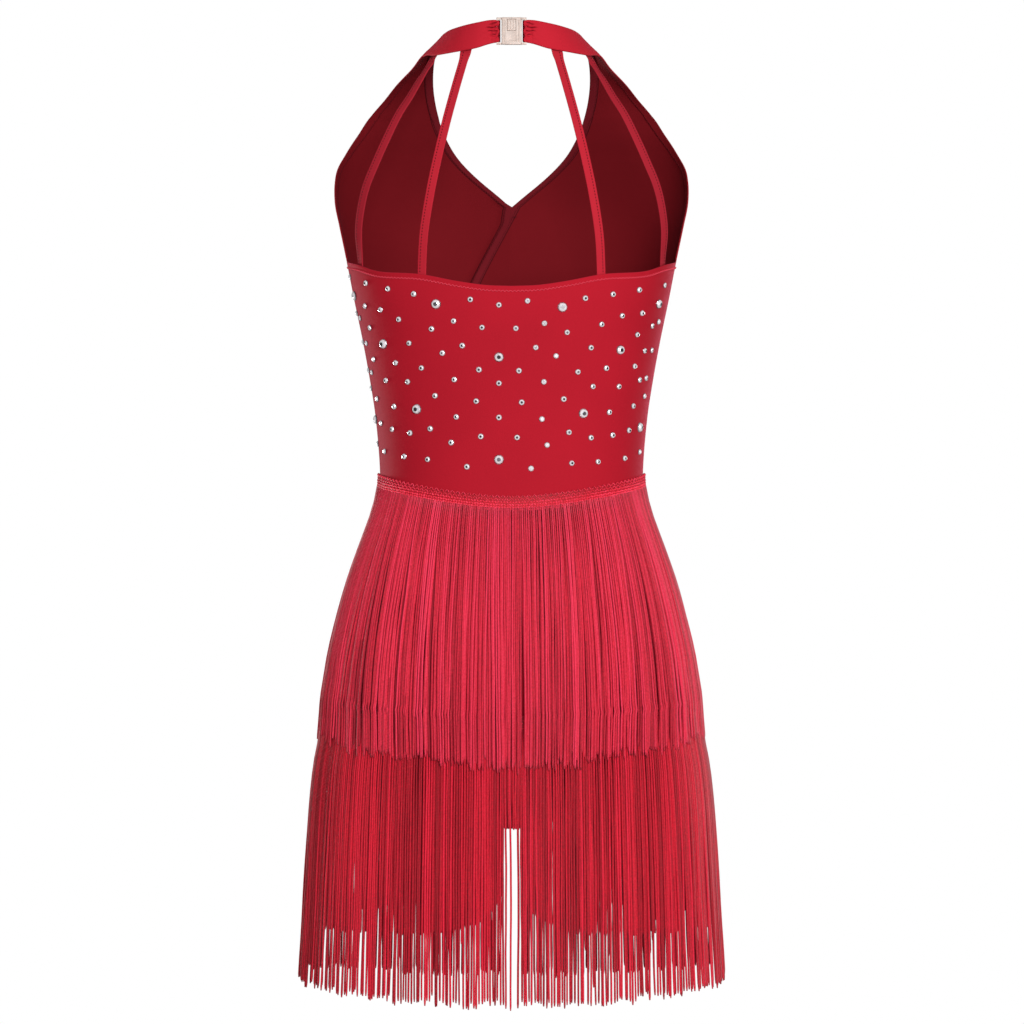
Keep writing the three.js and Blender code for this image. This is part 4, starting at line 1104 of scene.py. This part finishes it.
def strands(edge, fall, hanging, look):
    """Paths of hanging strands, with the ways across and out from the wearer at each ring."""
    count, inset = look["count"], look["inset"]
    rng = np.random.default_rng(look["seed"])
    angle = even_angles(edge, count, 0.35, rng)
    top = edge(angle) - HEADER_HEIGHT + ROOT_OVERLAP
    start = skin_at(angle, top, CLOTH + HEADER_LIFT + HEADER_THICK / 2 - inset)
    sizes = rng.integers(3, 9, count)
    locks = len(sizes)
    lock = np.repeat(np.arange(locks), sizes)[:count]
    jag = LOCK_JAG * rng.uniform(-1, 1, locks)[lock] + STRAND_JAG * rng.uniform(-1, 1, count)
    some, least, most = look["early"]
    short = (rng.uniform(0, 1, count) < some) * rng.uniform(least, most, count)
    drop = look.get("front_drop", 0) * smooth(0.3, 0.9, np.cos(angle))
    length = hanging + ROOT_OVERLAP + jag - short + drop
    if "ends" in look:
        end = look["ends"](start) + rng.uniform(-1.5, 1.5, count)
        length = np.where(np.isnan(end), length, top - end)
    share = np.tile(np.append(np.linspace(0, 0.985, RINGS - 1), 1.0), (count, 1))
    rise = np.zeros((count, RINGS))
    if "ridge" in look:
        # Three rings lie close together where the strands pass over the tape of the tier below.
        over = (top - look["ridge"](angle)) / length
        share[:, 12:15] = over[:, None] + np.array([-0.022, 0, 0.022])
        rise[:, 13] = RIDGE_RISE * smooth(0.2, 0.5, np.abs(np.cos(angle)))
    path = np.empty((count, RINGS, 3))
    path[:, 0] = start
    step = start.copy()
    for k in range(1, RINGS):
        z = top - length * share[:, k]
        for _ in range(3):
            a = np.arctan2(step[:, 0], -step[:, 1])
            around = unit(on_section(fall, a + 0.01, z) - on_section(fall, a - 0.01, z))
            out = np.stack([around[:, 1], -around[:, 0], np.zeros(count)], 1)
            gap = on_section(fall, a, z) - step
            step = step + out * (gap * out).sum(1, keepdims=True)
        step[:, 2] = z
        path[:, k] = step - out * inset
    away = np.arctan2(path[..., 0], -path[..., 1])
    around = np.stack([np.cos(away), np.sin(away), np.zeros_like(away)], -1)
    out = np.stack([np.sin(away), -np.cos(away), np.zeros_like(away)], -1)
    # Neighbours hang together in small locks, and each strand has a slight wave of its own.
    # The locks part more at the sides, where the fringe turns away from its straight fall.
    centre = np.array([np.flatnonzero(lock == k).mean() for k in lock])
    pitch = 2 * math.pi * FRINGE_RADIUS / count
    parting = 0.5 + 0.7 * smooth(0.3, 0.75, np.abs(np.sin(angle)))
    clump = rng.uniform(0.02, look["clump"], locks)[lock]
    pull = (centre - np.arange(count)) * pitch * parting * clump
    drift = (rng.normal(0, 1, locks)[lock] + rng.normal(0, 0.35, count)) * look["sway"]
    phase = rng.uniform(0, 2 * math.pi, (count, 2))
    wave = rng.uniform(0.1, 0.35, count)[:, None] * np.sin(share * 9.5 + phase[:, :1])
    wave = wave + rng.uniform(0.03, 0.12, count)[:, None] * np.sin(share * 31 + phase[:, 1:])
    growth = smooth(0.05, 1.0, share)
    sideways = pull[:, None] * smooth(0.02, 0.4, share) + drift[:, None] * growth
    sideways = sideways + wave * smooth(0, 0.15, share)
    # The strands part a little at the middle, behind and in front.
    x = path[:, :1, 0]
    join = MIDDLE_PARTING * np.exp(-((x / 4) ** 2)) * (1 - smooth(0.12, 0.35, share))
    sideways = sideways + np.sign(x) * np.sign(np.cos(away)) * join
    depthwise = rng.normal(0, 0.6, count)[:, None] * growth
    depthwise = depthwise + 0.3 * np.sin(share * 13 + phase[:, :1] * 2) * growth
    settled = look.get("settle", 0) * smooth(0.8, 1.0, share)
    outwards = np.clip(depthwise, -1.2, 1.2) + rise - settled
    path = path + around * sideways[..., None] + out * outwards[..., None]
    thick, thin = look["radius"]
    thickness = thick * (0.8 + 0.2 * smooth(0, 0.45, share)) + (thin - thick) * smooth(0.6, 0.8, share)
    thickness = thickness * rng.uniform(0.9, 1.1, count)[:, None]
    thickness[:, -1] *= END_TAPER
    # Strands differ in tone at random; each layer's tone offset adds painted light to the upper tier and
    # painted shade to the lower tier and the under layers.
    tone = 0.2 * rng.uniform(0, 1, locks)[lock] + 0.8 * rng.uniform(0, 1, count) + look["tone"]
    return path, around, out, thickness, tone


def fringe_layer(name, edge, fall, hanging, material, look, *nodes):
    path, around, out, thickness, shade = strands(edge, fall, hanging, look)
    dress(tubes(name, path, around, out, thickness, material, shade), "fringe", *nodes)


# The rows of crochet loops on a header: how far down, thickness, pitch, slant and how proud they stand.
LOOP_ROWS = (
    (1.3, 0.6, 2.5, 1.2, 0.5),
    (3.9, 0.55, 2.3, 1.0, 0.4),
    (6.2, 0.8, 2.6, 0.4, 0.6),
    (8.7, 0.95, 2.4, 0.5, 0.3),
    (10.9, 1.0, 2.4, 0.5, 0.3),
    (13.0, 0.9, 2.4, 0.5, 0.2),
)


def header_loops(name, edge):
    """A crocheted tape's loops: short slanted arcs of yarn in rows, meeting at centre back."""
    angle = np.linspace(math.pi, 3 * math.pi, 1441)
    parts = []
    for drop, radius, pitch, slant, lift in LOOP_ROWS:
        z = edge(angle) - drop
        out = skin_normal(angle, z)
        line = skin(angle, z) + out * (CLOTH + HEADER_LIFT + 0.85)
        how = {"pitch": pitch, "length": pitch * 0.84, "zigzag": slant, "lift": lift}
        path, across, ways = stitch_line(line, out, ways_along(line, out), **how)
        parts.append((path, across, ways, thread_radius(radius, 0.7, path)))
    path, across, ways, thickness = (np.concatenate(each) for each in zip(*parts))
    tone = np.random.default_rng(11).uniform(0.35, 0.9, len(path))
    return tubes(name, path, across, ways, thickness, tape_yarn, tone)


def tape_ground(name, edge):
    """The strip that the strands' loops are stitched through."""
    angle = np.linspace(0, 2 * math.pi, 361)
    down = np.array([1.2, 2.0, 4.0, 6.0, 9.0, 12.0, HEADER_HEIGHT + 0.8])[:, None]
    z = edge(angle) - down
    # The upper edge is open work, so less light comes back from between its loops.
    shade = np.broadcast_to(0.4 * smooth(4, 8, down) + 0.1, z.shape)
    depth = CLOTH + HEADER_LIFT - 0.25
    faces = [tape_cloth_painted_shade, tape_cloth_painted_shade]
    return wall(name, skin(angle, z), skin_normal(angle, z), 1.0, depth, faces, {"shade": shade})


# The lower tier's inner strands end along a curve that rises to an open slot at the middle.
SLOT, SLOT_TOP, INNER_END = 8.6, -699.0, -791.5


def under_ends(start):
    away = np.maximum(np.abs(start[:, 0]) - SLOT, 0)
    return np.where(away > 0, INNER_END + 34 * np.exp(-away / 18), SLOT_TOP)


def outer_ends(start):
    """Heights of the ends in the slot: only one strand hangs down it, behind. NaN hangs to the hem."""
    away, behind = np.abs(start[:, 0]), start[:, 1] > 0
    hangs = np.where(behind, (away > 4.9) | (away < 1.25), away > SLOT)
    return np.where(hangs, np.nan, SLOT_TOP)


# For each layer: radius at the middle and the end, how far it hangs inside its tier's form, the share
# that ends early, with the least and most that it is short, how its locks clump and sway, its tone
# (painted light and shade: the upper tier lighter, the lower tier and the under layers darker),
# and for some how its ends settle inwards, what it passes over and where ends short of the hem are.
UPPER_OUTER = {
    "count": 400, "seed": 5, "radius": (0.98, 0.9), "inset": -0.4, "early": (0.35, 1, 7),
    "clump": 0.42, "sway": 1.7, "tone": 0.06, "settle": 2.6, "ridge": hip_edge,
}
UPPER_UNDER = {
    "count": 400, "seed": 9, "radius": (1.1, 1.1), "inset": 1.2, "early": (1.0, 0, 6),
    "clump": 0.1, "sway": 0.8, "tone": -0.2, "settle": 2.9,
}
LOWER_OUTER = {
    "count": 420, "seed": 15, "radius": (1.0, 0.95), "inset": -0.4, "early": (0.07, 8, 60),
    "clump": 0.05, "sway": 0.4, "tone": -0.22, "ends": outer_ends, "front_drop": 6,
}
LOWER_UNDER = {
    "count": 440, "seed": 19, "radius": (1.15, 1.05), "inset": 1.2, "early": (0, 0, 0),
    "clump": 0.02, "sway": 0.3, "tone": -0.3, "ends": under_ends,
}
for tier, edge, fall, hanging, material, outer, under in (
    ("upper", waist_edge, UPPER_FALL, UPPER_LENGTH, upper_yarn_painted_sheen, UPPER_OUTER, UPPER_UNDER),
    ("lower", hip_edge, LOWER_FALL, LOWER_LENGTH, lower_yarn, LOWER_OUTER, LOWER_UNDER),
):
    tape = (edge, fall, hanging, material)
    fringe_layer(f"fringe_{tier}_outer", *tape, outer, f"fringe_{tier}")
    fringe_layer(f"fringe_{tier}_under", *tape, under)
    dress(header_loops(f"header_{tier}", edge), "fringe")
    dress(tape_ground(f"header_{tier}_ground", edge), "fringe")


# Crystals
STONE_SIDES = 10
# How far a stone sinks into the cloth, and how clear of the side seam it stays.
STONE_SINK, STONE_TO_SEAM = 0.1, 0.5


def stone_shape():
    """A unit stone: base, girdle, shoulder and table rings, with the faces between them."""
    n = STONE_SIDES
    turn = 2 * math.pi * np.arange(n) / n
    rings = []
    for radius, height, twist in ((1, 0, 0), (0.88, 0.16, 0), (0.74, 0.42, math.pi / n), (0.4, 0.58, 0)):
        across, up = np.cos(turn + twist), np.sin(turn + twist)
        rings.append(np.stack([radius * across, radius * up, np.full(n, height)], 1))
    i = np.arange(n)
    k = (i + 1) % n
    corners = (
        (n + i, n + k, 2 * n + i),
        (n + k, 2 * n + k, 2 * n + i),
        (2 * n + i, 3 * n + k, 3 * n + i),
        (2 * n + i, 2 * n + k, 3 * n + k),
    )
    triangles = np.concatenate([np.stack(each, 1) for each in corners])
    quads = np.stack([i, k, n + k, n + i], 1)
    return np.concatenate(rings), (triangles, quads, np.stack([3 * n + i, i[::-1]]))


# The spread of tones on a stone's facets, its dark rim, and its table and base: painted reflections on
# the facets and table, a painted shadow at the rim.
PAINTED_FACET_LIGHT = ((0.48, 1.0), (0.0, 0.25), (-0.1, 0.15))


def stones(face, side):
    rng = np.random.default_rng(3)
    unit_points, faces = stone_shape()
    points, groups, shade = [], ([], [], []), ([], [], [])
    for away, z, *size in STONE_CHART:
        radius = size[0] if size else SMALL
        for hand in (1, -1) if away else (1,):
            z0 = z + CHART_TILT * hand * away
            at = charted_angle(hand * away, z0, side)
            to_seam = -side * math.cos(at) * np.linalg.norm(skin(at, z0)[:2])
            if to_seam < 0.9 * radius + STONE_TO_SEAM:
                continue
            normal = skin_normal(at, z0)
            up = unit(np.cross(np.cross(normal, (0, 0, 1.0)), normal))
            right = np.cross(up, normal)
            spin = rng.uniform(0, 2 * math.pi)
            c, s = math.cos(spin), math.sin(spin)
            ways = np.array([c * right + s * up, c * up - s * right, normal])
            local = unit_points * radius * rng.uniform(0.96, 1.04)
            for store, tones, made, spread in zip(groups, shade, faces, PAINTED_FACET_LIGHT):
                store.append(made + len(points) * len(unit_points))
                tones.append(rng.uniform(*spread, len(made)))
            points.append(skin_at(at, z0, CLOTH - STONE_SINK) + local @ ways)
    joined = [np.concatenate(each) for each in groups]
    parts = [(each, np.zeros(each.shape + (2,)), 0) for each in joined]
    tones = np.concatenate([np.concatenate(each) for each in shade])
    piece = new_piece(f"crystals_{face}", np.concatenate(points), parts, [crystal], {"shade": tones})
    piece.data.shade_flat()
    fix_facing(piece)
    dress(piece, "crystal", *(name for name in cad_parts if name.startswith(f"crystal_{face}_")))


stones("back", 1)
stones("front", -1)


# Stitches
def thread_piece(name, lines, radius, material):
    path, across, out = (np.concatenate(parts) for parts in zip(*lines))
    piece = tubes(name, path, across, out, thread_radius(radius, 0.6, path), material)
    dress(piece, "band_knit")


outside, inside, dotted = [], [], []
# How far below its edge the back is stitched, and how far below the V the bar tack is.
TOP_STITCHES, BAR_TACK = 4.6, 9.0


def add_line(store, path, out, **how):
    store.append(stitch_line(path, out, ways_along(path, out), **how))


# The back's top hem: a zigzag outside.
angles = np.linspace(math.pi / 2 + 0.02, 3 * math.pi / 2 - 0.02, 240)
z = back_edge(angles) - TOP_STITCHES
path = skin_at(angles, z, CLOTH + 0.35)
add_line(outside, path, skin_normal(angles, z), pitch=1.7, length=1.8, zigzag=0.75)

# The fronts' neck and arm hems, inside and out.
for side in (1, -1):
    grid, normals, distance, depth = front_panel(side, 20)
    sewn = len(STATION_ROWS) + np.flatnonzero(ROW_SHARES >= 0)[0]
    for j, rows in ((HEM_COLUMN, slice(None)), (-1 - HEM_COLUMN, slice(0, sewn))):
        way = normals[rows, j]
        sunk = (depth - hem_ridge(distance))[rows, j]
        path = grid[rows, j] + way * depth[rows, j][:, None]
        add_line(outside, path + way * (CLOTH - 0.25), way, pitch=2.6, length=2.1)
        path = grid[rows, j] + way * (sunk - 0.05)[:, None]
        add_line(inside, path, -way, pitch=1.5, length=1.6, zigzag=0.8)

# A bar tack inside, at the point of the V.
z = NECK_POINT - BAR_TACK
angles = np.linspace(-0.045, -0.008, 6)
path = skin_at(angles, z, -0.8)
add_line(inside, path, -skin_normal(angles, z), pitch=0.7, length=0.9, zigzag=0.9)

# Straps: a row of small dark stitches, nearer to the edge that faces the arm.
for strap in (INNER_STRAP, OUTER_STRAP):
    line, across, out = strap_line(strap, 160)
    armwards = across * np.sign(across[:, :1].mean())
    path = line + armwards * STRAP_WIDTH * 0.2 + out * (STRAP_THICK / 2 - 0.08)
    for side in (1, -1):
        add_line(dotted, mirrored(path, side), mirrored(out, side), pitch=2.7, length=1.5)

thread_piece("stitches_outside", outside, 0.38, red_thread)
thread_piece("stitches_inside", inside, 0.24, dark_thread)
thread_piece("stitches_straps", dotted, 0.42, dark_thread)


# Stage
world = bpy.data.worlds.new("studio")
bpy.context.scene.world = world
world.use_nodes = True
SOFT_LIGHT = 0.29
background = world.node_tree.nodes["Background"]
background.inputs["Color"].default_value = (1, 1, 1, 1)
# The backdrop is white to the eye, and lights the garment more softly.
seen = world.node_tree.nodes.new("ShaderNodeLightPath").outputs["Is Camera Ray"]
strength = world.node_tree.nodes.new("ShaderNodeMath")
strength.operation = "MULTIPLY_ADD"
world.node_tree.links.new(seen, strength.inputs[0])
strength.inputs[1].default_value = 1 - SOFT_LIGHT
strength.inputs[2].default_value = SOFT_LIGHT
world.node_tree.links.new(strength.outputs[0], background.inputs["Strength"])


def area_light(name, at, aim, size, power):
    light = bpy.data.lights.new(name, "AREA")
    light.shape = "DISK"
    light.size = size
    light.energy = power
    obj = bpy.data.objects.new(name, light)
    obj.location = at
    direction = np.array(aim, float) - np.array(at, float)
    obj.rotation_euler = Vector(direction).to_track_quat("-Z", "Y").to_euler()
    bpy.context.scene.collection.objects.link(obj)
    return obj


MIDDLE_OF_GARMENT = (0, 0, -0.45)
area_light("key", (-0.75, 2.95, 0.2), MIDDLE_OF_GARMENT, 1.6, 109)
area_light("rim_right", (-1.7, -1.9, -0.3), MIDDLE_OF_GARMENT, 0.8, 9)
area_light("rim_left", (1.9, -1.75, -0.7), (0, 0, -0.6), 0.9, 54)

# The camera stands a little below the waist, and a pixel of the photo is 0.9 mm at the side seams.
CAMERA_DISTANCE, CAMERA_HEIGHT, CAMERA_ASIDE = 3300.0, -425.0, -0.45
SENSOR, PHOTO_WIDTH, PIXEL = 36, 1024, 0.9
camera_data = bpy.data.cameras.new("camera")
camera = bpy.data.objects.new("camera", camera_data)
bpy.context.scene.collection.objects.link(camera)
camera_data.sensor_width = SENSOR
camera_data.sensor_fit = "HORIZONTAL"
camera_data.lens = SENSOR * CAMERA_DISTANCE / (PHOTO_WIDTH * PIXEL)
camera.location = Vector((CAMERA_ASIDE, CAMERA_DISTANCE - NAPE_DEPTH, CAMERA_HEIGHT)) / 1000
camera.rotation_euler = (math.pi / 2, 0, math.pi)
bpy.context.scene.camera = camera
bpy.context.scene.view_settings.view_transform = "Standard"
